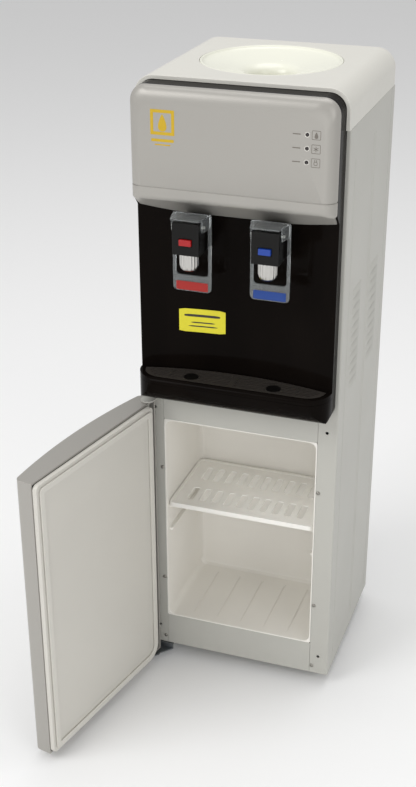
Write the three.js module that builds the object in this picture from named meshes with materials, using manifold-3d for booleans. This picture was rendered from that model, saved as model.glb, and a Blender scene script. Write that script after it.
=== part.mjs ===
// Floor-standing bottle-top water dispenser with hot and cold taps and a storage cabinet.
// Millimetres, +Z up. The origin is the centre of the base pan's raised underside;
// the taps and the door face -Y. The storage door hangs on the -X side and stands open.
import * as THREE from 'three';
import { mergeVertices } from 'three/addons/utils/BufferGeometryUtils.js';
import Module from 'manifold-3d';

const wasm = await Module();
wasm.setup();

// ---- driving dimensions -----------------------------------------------------------------------
const CABINET_WIDTH = 310;
const CABINET_DEPTH = 280;
const CABINET_HEIGHT = 969;      // base pan's underside to the top of the cover
const CLEARANCE = 0.4;           // between pieces that sit beside or in each other
const SHEET = 1.5;               // steel sheet
const MOULDED_WALL = 2.5;        // moulded plastic wall

const FOOT_HEIGHT = 20;
const FOOT_RADIUS = 16;
const FOOT_SETBACK = 45;         // foot centre from the cabinet's front and back
const FOOT_SIDE_SETBACK = 35;
const PAN_RIM_LIFT = 2;          // the pan's pressed centre stands this far below its rim
const PAN_FLANGE = 22;

const COLUMN_WIDTH = 30.5;       // front flange of each side panel
const BACK_FLANGE = 14;
const BACK_RECESS = 22;          // the back panel sits this far inside the side panels
const COVER_HEIGHT = 56;
const COVER_RADIUS = 29;
const COVER_OVERHANG = 10;       // the cover's front lip in front of the cabinet
const COVER_LIP = 5.6;

const SEAT_RADIUS = 104;         // bottle seat
const SEAT_THROAT = 33;
const SEAT_DEPTH = 71;
const SEAT_BEHIND_FRONT = 138;   // centre of the bottle from the cabinet's front

const FRAME_INSET = 6;           // black front moulding inside the cabinet's outline
const FRAME_DEPTH = 37;          // how far its box stands out
const FRAME_BOTTOM = CABINET_HEIGHT - 488;
const NICHE_CENTRE = 3.2;        // niche wall in front of the cabinet, at its middle
const NICHE_EDGE = 23;           // and at its two sides
const APRON_FRONT = 62;
const APRON_FOOT = 20;
const TRAY_SEAM = CABINET_HEIGHT - 448;
const TRAY_TOP = CABINET_HEIGHT - 439;

const PANEL_FRONT = 54;          // face of the display panel
const PANEL_GROOVE = CABINET_HEIGHT - 146;
const PANEL_CHIN = CABINET_HEIGHT - 163;
const CHIN_BACK_HEIGHT = CABINET_HEIGHT - 193;
const CHIN_BACK = 10;
const LENS_RADIUS = 2.4;
const LENS_X = 108;
const LENS_TOP = CABINET_HEIGHT - 53;
const LENS_PITCH = 18.7;

const TAP_SPACING = 116;
const TAP_WIDTH = 41;
const TAP_BOTTOM = CABINET_HEIGHT - 235;
const TAP_TOP = CABINET_HEIGHT - 188;
const TAP_FRONT = 73;
const SHANK_HEIGHT = CABINET_HEIGHT - 209;
const SHANK_RADIUS = 8;
const SPOUT_RADIUS = 14.2;
const SPOUT_LENGTH = 25;
const LEVER_WIDTH = 58;
const LEVER_RAIL = 4.5;
const LEVER_THICKNESS = 4;
const LEVER_PLANE = 44;          // back face of the lever from the cabinet's front
const LEVER_BOTTOM = CABINET_HEIGHT - 298;
const HOOD_FRONT_WIDTH = 42;
const LEVER_WINDOW_BOTTOM = CABINET_HEIGHT - 274;
const LEVER_TOP = CABINET_HEIGHT - 181.5;
const PIN_RADIUS = 2;
const PIN_FORWARD = 60;
const PIN_HEIGHT = CABINET_HEIGHT - 195;
const BUTTON_WIDTH = 18;
const BUTTON_HEIGHT = 9;
const BUTTON_PROUD = 3.2;
const BUTTON_BEHIND = 4;
const BUTTON_CENTRE = CABINET_HEIGHT - 215.5;

const OPENING_BOTTOM = 62;       // storage opening
const OPENING_TOP = FRAME_BOTTOM - 52;
const TUB_WALL = 2;
const TUB_DEPTH = 165;
const SHELF_TOP = 278;
const SHELF_LIP = 8;
const SLOT_PITCH = 20.5;
const SLOT_WIDTH = 10.5;

const DOOR_BOTTOM = -5;
const DOOR_TOP = FRAME_BOTTOM - 11.5;
const DOOR_EDGE_THICKNESS = 40;  // inner face to outer face at the edges
const DOOR_BOW = 11;
const DOOR_GAP = 4;              // closed door's inner face to the cabinet
const DOOR_STEP = 10.5;          // inner panel stands this far out of the shell
const PIVOT_FROM_EDGE = 12;
const PIVOT_FROM_INNER_FACE = 17;
const DOOR_OPEN_ANGLE = 102;
const HINGE_PIN_RADIUS = 3;
const BRACKET_SHEET = 2;

// ---- places worked out from them --------------------------------------------------------------
const HALF_WIDTH = CABINET_WIDTH / 2;
const FRONT = -CABINET_DEPTH / 2;
const BACK = CABINET_DEPTH / 2;
const PANEL_TOP = CABINET_HEIGHT - COVER_HEIGHT;
const OPENING_HALF = HALF_WIDTH - COLUMN_WIDTH;
const FRAME_HALF = HALF_WIDTH - FRAME_INSET;
const FRAME_TOP = CABINET_HEIGHT - FRAME_INSET;
const FRAME_RADIUS = COVER_RADIUS - FRAME_INSET;
const SEAT_Y = FRONT + SEAT_BEHIND_FRONT;
const BACK_PANEL_Y = BACK - BACK_RECESS;
const NICHE_SAG = NICHE_EDGE - NICHE_CENTRE;
const NICHE_RADIUS = (FRAME_HALF ** 2 + NICHE_SAG ** 2) / (2 * NICHE_SAG);
const NICHE_AXIS_Y = FRONT - NICHE_CENTRE - NICHE_RADIUS;
const PIVOT_X = -HALF_WIDTH + PIVOT_FROM_EDGE;
const PIVOT_Y = FRONT - DOOR_GAP - PIVOT_FROM_INNER_FACE;
const SHELL_RIM = PIVOT_FROM_INNER_FACE - DOOR_STEP;

// ---- materials --------------------------------------------------------------------------------
const finish = (color, roughness, metalness = 0) =>
  new THREE.MeshStandardMaterial({ color, roughness, metalness });
const PAINTED_STEEL = finish(0xb4b3ac, 0.45);
const PALE_PLASTIC = finish(0xd2d0c8, 0.4);
const CREAM_PLASTIC = finish(0xe2e2d4, 0.35);
const SILVER_PLASTIC = finish(0xa5a199, 0.4, 0.2);
const BLACK_GLOSS = finish(0x0c0806, 0.12);
const BLACK_PLASTIC = finish(0x16130f, 0.4);
const LINER_PLASTIC = finish(0xbebbb2, 0.5);
const WHITE_PLASTIC = finish(0xe6e4dc, 0.5);
const CHROME = finish(0xd8d4cc, 0.12, 1);
const CLEAR_PLASTIC = finish(0xcfd6d8, 0.08);
CLEAR_PLASTIC.transparent = true;
CLEAR_PLASTIC.opacity = 0.3;
const RED_PLASTIC = finish(0xbe1419, 0.35);
const BLUE_PLASTIC = finish(0x1450a8, 0.35);
const RUBBER = finish(0x202020, 0.8);
const STAINLESS = finish(0xb8b8b8, 0.3, 1);
const BLACK_STEEL = finish(0x1a1a1c, 0.5, 0.3);
const FOAM = finish(0xe8e6de, 0.9);
const CIRCUIT_BOARD = finish(0x1d5a34, 0.6);
const SILICONE = finish(0xd9dedd, 0.5);
const ZINC = finish(0x8b95a3, 0.4, 0.8);

// ---- solids -----------------------------------------------------------------------------------
function signedVolume(points, faces) {
  let sum = 0;
  for (let i = 0; i < faces.length; i += 3) {
    const [a, b, c] = [0, 1, 2].map((k) => new THREE.Vector3().fromArray(points, 3 * faces[i + k]));
    sum += a.dot(b.cross(c));
  }
  return sum / 6;
}

// A closed three.js geometry as a solid that can be joined and cut, with its faces pointing out.
function solid(geometry) {
  geometry.deleteAttribute('normal');
  geometry.deleteAttribute('uv');
  const merged = mergeVertices(geometry, 1e-4);
  const points = new Float32Array(merged.attributes.position.array);
  const faces = [];
  const index = merged.index.array;
  for (let i = 0; i < index.length; i += 3) {
    const [a, b, c] = [index[i], index[i + 1], index[i + 2]];
    if (a !== b && b !== c && a !== c) faces.push(a, b, c);
  }
  if (signedVolume(points, faces) < 0) faces.reverse();
  const mesh = new wasm.Mesh({ numProp: 3, vertProperties: points, triVerts: new Uint32Array(faces) });
  return new wasm.Manifold(mesh);
}

function geometryOf(body) {
  const mesh = body.getMesh();
  const points = new Float32Array(mesh.numVert * 3);
  for (let i = 0; i < mesh.numVert; i += 1) {
    for (let k = 0; k < 3; k += 1) points[3 * i + k] = mesh.vertProperties[mesh.numProp * i + k];
  }
  const geometry = new THREE.BufferGeometry();
  geometry.setAttribute('position', new THREE.BufferAttribute(points, 3));
  geometry.setIndex(new THREE.BufferAttribute(new Uint32Array(mesh.triVerts), 1));
  geometry.computeVertexNormals();
  return geometry;
}

const join = (...bodies) => bodies.reduce((sum, body) => sum.add(body));
const cut = (body, ...tools) => tools.reduce((rest, tool) => rest.subtract(tool), body);
const common = (...bodies) => bodies.reduce((sum, body) => sum.intersect(body));

function block(x0, x1, y0, y1, z0, z1) {
  const box = new THREE.BoxGeometry(x1 - x0, y1 - y0, z1 - z0);
  box.translate((x0 + x1) / 2, (y0 + y1) / 2, (z0 + z1) / 2);
  return solid(box);
}

const ARC_STEPS = 3;
const extruded = (shape, depth) =>
  new THREE.ExtrudeGeometry(shape, { depth, bevelEnabled: false, curveSegments: ARC_STEPS });

// An outline in X and Y, raised along Z.
function prismZ(shape, z0, z1) {
  return solid(extruded(shape, z1 - z0).translate(0, 0, z0));
}

// An outline in X and Z, run along Y.
function prismY(shape, y0, y1) {
  return solid(extruded(shape, y1 - y0).rotateX(Math.PI / 2).translate(0, y1, 0));
}

// A side profile, given as distance in front of the cabinet and height, run along X.
function sideProfile(shape, x0, x1) {
  const turn = new THREE.Matrix4().makeBasis(
    new THREE.Vector3(0, -1, 0), new THREE.Vector3(0, 0, 1), new THREE.Vector3(-1, 0, 0));
  return solid(extruded(shape, x1 - x0).applyMatrix4(turn).translate(x1, FRONT, 0));
}

// A rectangle with its own radius at each corner, counterclockwise from the low corner.
function roundedRectangle(x0, y0, x1, y1, radii = [0, 0, 0, 0]) {
  const corners = [[x0, y0, 1, 1], [x1, y0, -1, 1], [x1, y1, -1, -1], [x0, y1, 1, -1]];
  const shape = new THREE.Shape();
  corners.forEach(([x, y, inX, inY], i) => {
    const r = radii[i];
    const start = Math.PI + (i * Math.PI) / 2;
    if (r > 0) shape.absarc(x + inX * r, y + inY * r, r, start, start + Math.PI / 2);
    else if (i === 0) shape.moveTo(x, y);
    else shape.lineTo(x, y);
  });
  shape.closePath();
  return shape;
}

function polygon(points) {
  return new THREE.Shape(points.map(([x, y]) => new THREE.Vector2(x, y)));
}

// A profile of radius and height, turned about a vertical axis.
function turned(profile, x, y, z = 0, segments = 24) {
  const points = profile.map(([r, h]) => new THREE.Vector2(r, h));
  const lathe = new THREE.LatheGeometry(points, segments).rotateX(Math.PI / 2);
  return solid(lathe.translate(x, y, z));
}

// The same, turned about an axis along Y, with its heights measured towards the front.
function turnedForward(profile, x, y, z, segments = 24) {
  const points = profile.map(([r, h]) => new THREE.Vector2(r, h));
  const lathe = new THREE.LatheGeometry(points, segments).rotateX(Math.PI);
  return solid(lathe.translate(x, y, z));
}

const rod = (radius, length) => [[0, 0], [radius, 0], [radius, length], [0, length]];

// A round pin or bore along X.
function crossBar(radius, x0, x1, y, z, segments = 12) {
  const bar = new THREE.CylinderGeometry(radius, radius, x1 - x0, segments).rotateZ(Math.PI / 2);
  return solid(bar.translate((x0 + x1) / 2, y, z));
}

function tube(points, radius, steps) {
  const section = new THREE.Shape();
  section.absarc(0, 0, radius, 0, 2 * Math.PI);
  const path = new THREE.CatmullRomCurve3(points.map((p) => new THREE.Vector3(...p)));
  return solid(new THREE.ExtrudeGeometry(section, { steps, extrudePath: path, curveSegments: 4 }));
}

const dispenser = new THREE.Group();
dispenser.name = 'water_dispenser';

function place(name, body, material, group = dispenser) {
  const mesh = new THREE.Mesh(geometryOf(body), material);
  mesh.name = name;
  group.add(mesh);
}

// ---- base, sides and back ---------------------------------------------------------------------
const PAN_BOTTOM = PAN_RIM_LIFT;

function basePan() {
  const halfX = HALF_WIDTH - SHEET - CLEARANCE;
  const y0 = FRONT + SHEET + CLEARANCE;
  const y1 = BACK_PANEL_Y - CLEARANCE;
  const outer = block(-halfX, halfX, y0, y1, PAN_BOTTOM, PAN_BOTTOM + PAN_FLANGE);
  const inner = block(-halfX + SHEET, halfX - SHEET, y0 + SHEET, y1 - SHEET,
    PAN_BOTTOM + SHEET, PAN_BOTTOM + PAN_FLANGE + 1);
  const pressedHalfX = HALF_WIDTH - 2 * FOOT_SIDE_SETBACK + FOOT_RADIUS;
  const pressedHalfY = CABINET_DEPTH / 2 - FOOT_SETBACK - FOOT_RADIUS - 6;
  const pressed = prismZ(roundedRectangle(-pressedHalfX, -pressedHalfY, pressedHalfX, pressedHalfY,
    [10, 10, 10, 10]), 0, PAN_BOTTOM + SHEET / 2);
  return join(cut(outer, inner), pressed);
}

function foot(x, y) {
  const pad = [[0, 0], [FOOT_RADIUS - 2, 0], [FOOT_RADIUS, 2], [FOOT_RADIUS - 3, FOOT_HEIGHT - 4],
    [FOOT_RADIUS - 3, FOOT_HEIGHT + PAN_BOTTOM - CLEARANCE], [0, FOOT_HEIGHT + PAN_BOTTOM - CLEARANCE]];
  return turned(pad, x, y, -FOOT_HEIGHT, 20);
}

const SCREW_HEIGHTS = [344, 135, 16];
const SCREW_IN = 27;             // column screws from the cabinet's side
const SCREW_SHANK = 1.5;
const HINGE_HOLE_IN = 16.7;
const HINGE_HOLE_HEIGHTS = [450, 36];
const LOUVRE_COLUMNS = [[54, 108], [165, 223]];
const LOUVRE_COUNT = 11;
const LOUVRE_PITCH = 15;
const LOUVRE_TOP = CABINET_HEIGHT - 312;
const LOUVRE_HEIGHT = 4;

// side is +1 for the right-hand panel and -1 for the left-hand one.
function sidePanel(side) {
  const bottom = PAN_BOTTOM + CLEARANCE;
  const outside = HALF_WIDTH;
  const channel = polygon([
    [outside, FRONT], [outside, BACK], [outside - BACK_FLANGE, BACK],
    [outside - BACK_FLANGE, BACK - SHEET], [outside - SHEET, BACK - SHEET],
    [outside - SHEET, FRONT + SHEET], [OPENING_HALF, FRONT + SHEET], [OPENING_HALF, FRONT]]);
  let panel = prismZ(channel, bottom, PANEL_TOP);
  for (const [near, far] of LOUVRE_COLUMNS) {
    for (let i = 0; i < LOUVRE_COUNT; i += 1) {
      const z = LOUVRE_TOP - i * LOUVRE_PITCH;
      panel = cut(panel, block(outside - 2 * SHEET, outside + 1, FRONT + near, FRONT + far,
        z - LOUVRE_HEIGHT / 2, z + LOUVRE_HEIGHT / 2));
    }
  }
  for (const z of SCREW_HEIGHTS) {
    panel = cut(panel, turnedForward(rod(SCREW_SHANK + CLEARANCE, 3 * SHEET),
      outside - SCREW_IN, FRONT + 2 * SHEET, z, 8));
  }
  for (const z of HINGE_HOLE_HEIGHTS) {
    panel = cut(panel, turnedForward(rod(2.5, 3 * SHEET), outside - HINGE_HOLE_IN,
      FRONT + 2 * SHEET, z, 8));
  }
  return side > 0 ? panel : panel.mirror([1, 0, 0]);
}

function columnScrew(side, z) {
  const head = 3.3;
  const grip = SHEET + CLEARANCE / 2;
  const profile = [[0, 0], [SCREW_SHANK, 0], [SCREW_SHANK, grip], [head, grip], [head, grip + 0.8],
    [head - 1, grip + 1.6], [0, grip + 1.8]];
  return turnedForward(profile, side * (HALF_WIDTH - SCREW_IN), FRONT + grip - CLEARANCE, z, 10);
}

const SWITCH_X = 95;
const SWITCH_HEIGHT = CABINET_HEIGHT - 149;
const SWITCH_PITCH = 30;
const SWITCH_HOLE = [16, 26];
const DRAIN = { x: -95, z: 72, stem: 8, head: 14 };
const GLAND = { x: 95, z: 72, stem: 7, head: 11 };

function backPanel() {
  const halfX = HALF_WIDTH - SHEET - CLEARANCE;
  const bottom = PAN_BOTTOM + CLEARANCE;
  const shape = roundedRectangle(-halfX, bottom, halfX, PANEL_TOP - CLEARANCE);
  let panel = prismY(shape, BACK_PANEL_Y, BACK_PANEL_Y + SHEET);
  for (const row of [0, 1]) {
    const z = SWITCH_HEIGHT - row * SWITCH_PITCH;
    panel = cut(panel, block(SWITCH_X - SWITCH_HOLE[0] / 2, SWITCH_X + SWITCH_HOLE[0] / 2,
      BACK_PANEL_Y - 5, BACK_PANEL_Y + 5, z - SWITCH_HOLE[1] / 2, z + SWITCH_HOLE[1] / 2));
  }
  for (const port of [DRAIN, GLAND]) {
    const bore = turnedForward(rod(port.stem + CLEARANCE, 10), port.x, BACK_PANEL_Y + 6, port.z, 16);
    panel = cut(panel, bore);
  }
  return panel;
}

// ---- top cover and bottle seat ----------------------------------------------------------------
const coverOutline = (inset, bottom) => {
  const r = COVER_RADIUS - inset;
  return roundedRectangle(-HALF_WIDTH + inset, bottom, HALF_WIDTH - inset, CABINET_HEIGHT - inset,
    [0, 0, r, r]);
};

function topCover() {
  const bottom = PANEL_TOP + CLEARANCE;
  const lipFront = FRONT - COVER_OVERHANG;
  const lipDepth = 4;
  const shell = cut(prismY(coverOutline(0, bottom), lipFront, BACK),
    prismY(coverOutline(MOULDED_WALL, bottom - 5), lipFront + lipDepth, BACK - MOULDED_WALL),
    prismY(coverOutline(COVER_LIP, bottom - 5), lipFront - 1, lipFront + lipDepth + 1));
  const ledgeTop = CABINET_HEIGHT - 3.1;
  const ledge = turned([[SEAT_RADIUS - 8, ledgeTop - 4], [SEAT_RADIUS + 6, ledgeTop - 4],
    [SEAT_RADIUS + 6, CABINET_HEIGHT - 1], [SEAT_RADIUS - 8, CABINET_HEIGHT - 1],
    [SEAT_RADIUS - 8, ledgeTop - 4]], 0, SEAT_Y, 0, 32);
  const recess = turned([[0, ledgeTop], [SEAT_RADIUS + CLEARANCE, ledgeTop],
    [SEAT_RADIUS + CLEARANCE, CABINET_HEIGHT + 5], [0, CABINET_HEIGHT + 5]], 0, SEAT_Y, 0, 32);
  const bore = turned(rod(SEAT_RADIUS - 3.5, 40), 0, SEAT_Y, CABINET_HEIGHT - 30, 32);
  return cut(join(shell, ledge), recess, bore);
}

// A shallow dish with a deep throat that takes the bottle's neck.
function bottleSeat() {
  const top = CABINET_HEIGHT - 0.2;
  const bottom = CABINET_HEIGHT - SEAT_DEPTH;
  const mouth = SEAT_THROAT - 11;
  const inside = [[mouth, bottom], [SEAT_THROAT - 3, bottom + 7], [SEAT_THROAT, top - 29],
    [SEAT_THROAT + 7, top - 18], [SEAT_THROAT + 29, top - 11], [SEAT_RADIUS - 6,
      top - 3.2], [SEAT_RADIUS - 3, top]];
  const outside = [[SEAT_RADIUS, top], [SEAT_RADIUS, top - 2.5], [SEAT_RADIUS - 4, top - 2.5],
    [SEAT_RADIUS - 5.2, top - 5.8],
    [SEAT_THROAT + 29.5, top - 13.6], [SEAT_THROAT + 9, top - 20.4], [SEAT_THROAT + 2.6, top - 30],
    [SEAT_THROAT - 0.4, bottom + 5.4], [mouth, bottom - 2.6], [mouth, bottom]];
  return turned([...inside, ...outside], 0, SEAT_Y, 0, 32);
}

function bottleProbe() {
  const flange = SEAT_THROAT - 11 - CLEARANCE;
  const bottom = CABINET_HEIGHT - SEAT_DEPTH - 2.4;
  const profile = [[5, bottom], [flange, bottom], [flange, bottom + 2.4], [12, bottom + 3.4],
    [10, bottom + 40],
    [7, bottom + 46], [5, bottom + 46], [5, bottom]];
  return turned(profile, 0, SEAT_Y, 0, 16);
}

// ---- black front moulding ---------------------------------------------------------------------
const frameOutline = (inset) => {
  const top = FRAME_RADIUS - inset;
  const bottom = 16 - inset;
  return roundedRectangle(-FRAME_HALF + inset, FRAME_BOTTOM + inset, FRAME_HALF - inset, FRAME_TOP - inset,
    [bottom, bottom, top, top]);
};

const NICHE_STEPS = 14;

// The plan between the niche, moved back by an inset, and a line a given distance in front.
function nichePlan(inset, front, halfWidth) {
  const radius = NICHE_RADIUS - inset;
  const sweep = Math.asin(halfWidth / radius);
  const shape = new THREE.Shape();
  for (let i = 0; i <= NICHE_STEPS; i += 1) {
    const angle = Math.PI / 2 - sweep + (2 * sweep * i) / NICHE_STEPS;
    const point = [radius * Math.cos(angle), NICHE_AXIS_Y + radius * Math.sin(angle)];
    if (i === 0) shape.moveTo(...point);
    else shape.lineTo(...point);
  }
  shape.lineTo(-halfWidth, FRONT - front);
  shape.lineTo(halfWidth, FRONT - front);
  shape.closePath();
  return shape;
}

const APRON_CORNER = 38;

// The room between the niche and the apron's rounded front, from z0 to z1.
function trayRoom(inset, frontInset, sideInset, z0, z1) {
  const half = FRAME_HALF - sideInset;
  const front = FRONT - APRON_FRONT + frontInset;
  const corner = APRON_CORNER - frontInset;
  return common(prismZ(nichePlan(inset, APRON_FRONT + 5, half), z0, z1),
    prismZ(roundedRectangle(-half, front, half, FRONT + 5, [corner, corner, 0, 0]), z0 - 1, z1 + 1));
}

// The rounded bowl below the taps. inset gives the apron's inside, the tray's outside and so on.
function apronBowl(inset, top) {
  const profile = new THREE.Shape();
  profile.moveTo(-5, FRAME_BOTTOM + inset);
  profile.lineTo(APRON_FOOT - inset, FRAME_BOTTOM + inset);
  profile.quadraticCurveTo(APRON_FRONT - 5 - inset, FRAME_BOTTOM + 4 + inset, APRON_FRONT - inset,
    TRAY_SEAM);
  if (top > TRAY_SEAM) profile.lineTo(APRON_FRONT - inset, top);
  profile.lineTo(-5, top);
  profile.closePath();
  return common(
    sideProfile(profile, -HALF_WIDTH, HALF_WIDTH),
    trayRoom(inset, inset, inset, FRAME_BOTTOM, top + 1),
    prismY(frameOutline(inset), FRONT - 2 * APRON_FRONT, FRONT));
}

function tapCentres() {
  return [-TAP_SPACING / 2, TAP_SPACING / 2];
}

function frontFrame() {
  const back = FRONT - CLEARANCE;
  const wall = cut(prismY(frameOutline(0), FRONT - FRAME_DEPTH, back),
    prismY(frameOutline(MOULDED_WALL), FRONT - FRAME_DEPTH - 1, back + 1));
  const rise = PANEL_CHIN - 3;
  const wallFront = NICHE_EDGE - 1;
  const depthProfile = polygon([[0, FRAME_BOTTOM], [wallFront, FRAME_BOTTOM], [wallFront, rise - 18],
    [FRAME_DEPTH, rise], [FRAME_DEPTH, FRAME_TOP], [0, FRAME_TOP]]);
  const walls = common(wall, sideProfile(depthProfile, -HALF_WIDTH, HALF_WIDTH));
  const nicheBand = cut(
    prismZ(nichePlan(-MOULDED_WALL, NICHE_EDGE, FRAME_HALF), FRAME_BOTTOM, CHIN_BACK_HEIGHT + 24),
    prismZ(nichePlan(0, NICHE_EDGE + 5, FRAME_HALF + 5), FRAME_BOTTOM - 1, CHIN_BACK_HEIGHT + 25));
  const niche = common(nicheBand, prismY(frameOutline(0), FRONT - FRAME_DEPTH, back));
  const apron = cut(apronBowl(0, TRAY_SEAM), apronBowl(MOULDED_WALL, TRAY_SEAM + 1));
  let frame = join(walls, niche, apron);
  for (const x of tapCentres()) {
    frame = cut(frame, turnedForward(rod(SHANK_RADIUS + CLEARANCE, 60), x, FRONT + 20, SHANK_HEIGHT, 16));
  }
  return frame;
}

// ---- display panel ----------------------------------------------------------------------------
const PANEL_BACK = FRAME_DEPTH + CLEARANCE;
const PANEL_CORNER = 18;
const PANEL_CROWN = 26;

function panelBody(inset) {
  const profile = new THREE.Shape();
  const face = PANEL_FRONT - inset;
  const top = FRAME_TOP - inset;
  const rear = inset > 0 ? PANEL_BACK - 2 : PANEL_BACK;
  profile.moveTo(rear, top);
  profile.quadraticCurveTo(face - 2, top - 3, face, FRAME_TOP - PANEL_CROWN);
  profile.lineTo(face, PANEL_CHIN + 8);
  profile.quadraticCurveTo(face, PANEL_CHIN + inset, face - 8, PANEL_CHIN - 3 + inset);
  profile.lineTo(rear, PANEL_CHIN - 6 + inset);
  profile.closePath();
  const half = FRAME_HALF - inset;
  const plan = roundedRectangle(-half, FRONT - face, half, FRONT, [PANEL_CORNER, PANEL_CORNER, 0, 0]);
  return common(sideProfile(profile, -HALF_WIDTH, HALF_WIDTH),
    prismZ(plan, FRAME_BOTTOM, FRAME_TOP + 1),
    prismY(frameOutline(inset), FRONT - 2 * PANEL_FRONT, FRONT));
}

function chinPlate() {
  const half = FRAME_HALF - MOULDED_WALL - CLEARANCE;
  const front = PANEL_BACK + 2;
  const profile = polygon([[front, PANEL_CHIN - 6], [CHIN_BACK, CHIN_BACK_HEIGHT],
    [CHIN_BACK, CHIN_BACK_HEIGHT + MOULDED_WALL], [front, PANEL_CHIN - 6 + MOULDED_WALL]]);
  const frontOfNiche = prismZ(nichePlan(CLEARANCE, PANEL_FRONT, half), FRAME_BOTTOM, FRAME_TOP);
  const corners = prismY(roundedRectangle(-half, CHIN_BACK_HEIGHT - 1, half, FRAME_TOP, [17, 17, 0, 0]),
    FRONT - PANEL_FRONT, FRONT);
  return common(sideProfile(profile, -half, half), frontOfNiche, corners);
}

function displayPanel() {
  const groove = block(-HALF_WIDTH, HALF_WIDTH, FRONT - PANEL_FRONT - 5, FRONT - PANEL_FRONT + 1,
    PANEL_GROOVE - 1, PANEL_GROOVE + 1);
  let panel = join(cut(panelBody(0), panelBody(MOULDED_WALL)), chinPlate());
  panel = cut(panel, groove);
  for (let i = 0; i < 3; i += 1) {
    const bore = turnedForward(rod(LENS_RADIUS + CLEARANCE, PANEL_FRONT), LENS_X,
      FRONT - FRAME_DEPTH, LENS_TOP - i * LENS_PITCH, 12);
    panel = cut(panel, bore);
  }
  return panel;
}

const BOARD_DISTANCE = PANEL_FRONT - 13;

function indicatorLens(i) {
  const length = PANEL_FRONT + 0.6 - BOARD_DISTANCE - SHEET - CLEARANCE;
  const profile = [[0, 0], [LENS_RADIUS, 0], [LENS_RADIUS, length - 0.8],
    [LENS_RADIUS - 0.9, length], [0, length]];
  return turnedForward(profile, LENS_X, FRONT - BOARD_DISTANCE - SHEET - CLEARANCE,
    LENS_TOP - i * LENS_PITCH, 12);
}

function displayBoard() {
  return block(LENS_X - 22, LENS_X + 22, FRONT - BOARD_DISTANCE - SHEET, FRONT - BOARD_DISTANCE,
    LENS_TOP - 2 * LENS_PITCH - 12, LENS_TOP + 12);
}

// ---- lower front and storage ------------------------------------------------------------------
const TUB_HALF = OPENING_HALF - CLEARANCE;

function headerRail() {
  const top = FRAME_BOTTOM + 20;
  return block(-TUB_HALF, TUB_HALF, FRONT, FRONT + SHEET, OPENING_TOP + TUB_WALL + CLEARANCE, top);
}

function plinthPanel() {
  return block(-TUB_HALF, TUB_HALF, FRONT, FRONT + SHEET, PAN_BOTTOM + CLEARANCE,
    OPENING_BOTTOM - TUB_WALL - CLEARANCE);
}

const RAIL = { width: 6, height: 4, front: 10, back: 160, gap: 0.4 };
const LOWER_RAIL_TOP = 226;

function storageTub() {
  const inner = TUB_HALF - TUB_WALL;
  const back = FRONT + TUB_DEPTH;
  let tub = cut(
    block(-TUB_HALF, TUB_HALF, FRONT, back + TUB_WALL, OPENING_BOTTOM - TUB_WALL, OPENING_TOP + TUB_WALL),
    block(-inner, inner, FRONT - 1, back, OPENING_BOTTOM, OPENING_TOP));
  for (const side of [-1, 1]) {
    for (const top of [SHELF_TOP - SHELF_LIP - RAIL.gap, LOWER_RAIL_TOP]) {
      const x = side * inner;
      const edge = x - side * RAIL.width;
      const root = x + side * TUB_WALL / 2;
      tub = join(tub, block(Math.min(edge, root), Math.max(edge, root),
        FRONT + RAIL.front, FRONT + RAIL.back, top - RAIL.height, top));
    }
  }
  for (let i = -2; i <= 2; i += 1) {
    const x = i * 2 * SLOT_PITCH;
    tub = cut(tub, block(x - 1.5, x + 1.5, FRONT + 17, FRONT + 140, OPENING_BOTTOM - 0.8,
      OPENING_BOTTOM + 1));
  }
  return tub;
}

const SHELF_ROWS = [[26, 66], [93, 135]];

function storageShelf() {
  const half = TUB_HALF - TUB_WALL - 1;
  const front = FRONT + 5;
  const back = FRONT + 160;
  const deck = 3;
  const bottom = SHELF_TOP - SHELF_LIP;
  let shelf = cut(
    prismZ(roundedRectangle(-half, front, half, back, [5, 5, 5, 5]), bottom, SHELF_TOP),
    prismZ(roundedRectangle(-half + deck, front + deck, half - deck, back - deck), bottom - 1,
      SHELF_TOP - deck));
  for (const [near, far] of SHELF_ROWS) {
    for (let i = 0; i < 10; i += 1) {
      const x = (i - 4.5) * SLOT_PITCH;
      shelf = cut(shelf, block(x - SLOT_WIDTH / 2, x + SLOT_WIDTH / 2, FRONT + near, FRONT + far,
        SHELF_TOP - 2 * deck, SHELF_TOP + 1));
    }
  }
  return shelf;
}

// ---- drip tray and grille ---------------------------------------------------------------------
const TRAY_WALL = 2;
const TRAY_RIM = 8;
const GRILLE_THICKNESS = 2.6;

function dripTray() {
  const shoulder = new THREE.Shape();
  shoulder.moveTo(0, TRAY_SEAM + CLEARANCE);
  shoulder.lineTo(APRON_FRONT, TRAY_SEAM + CLEARANCE);
  shoulder.quadraticCurveTo(APRON_FRONT - 0.5, TRAY_TOP - 4, APRON_FRONT - 5, TRAY_TOP);
  shoulder.lineTo(0, TRAY_TOP);
  shoulder.closePath();
  const rim = common(sideProfile(shoulder, -HALF_WIDTH, HALF_WIDTH),
    trayRoom(CLEARANCE, 0, 0, TRAY_SEAM, TRAY_TOP));
  const basinInset = MOULDED_WALL + 2 * CLEARANCE;
  const basin = apronBowl(basinInset, TRAY_SEAM + 2);
  return cut(join(rim, basin),
    apronBowl(basinInset + TRAY_WALL, TRAY_SEAM + 2.01),
    trayRoom(TRAY_RIM, TRAY_RIM + 3, TRAY_RIM + 3, TRAY_SEAM - 4, TRAY_TOP + 1),
    trayRoom(TRAY_RIM - 3, TRAY_RIM, TRAY_RIM, TRAY_TOP - GRILLE_THICKNESS, TRAY_TOP + 1));
}

const SLAT_PITCH = 6;
const SLAT_GAP = 3;
const CUP_MARK_RADIUS = 11;
const CUP_MARK_X = 64;
const CUP_MARK_FORWARD = 38;

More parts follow.
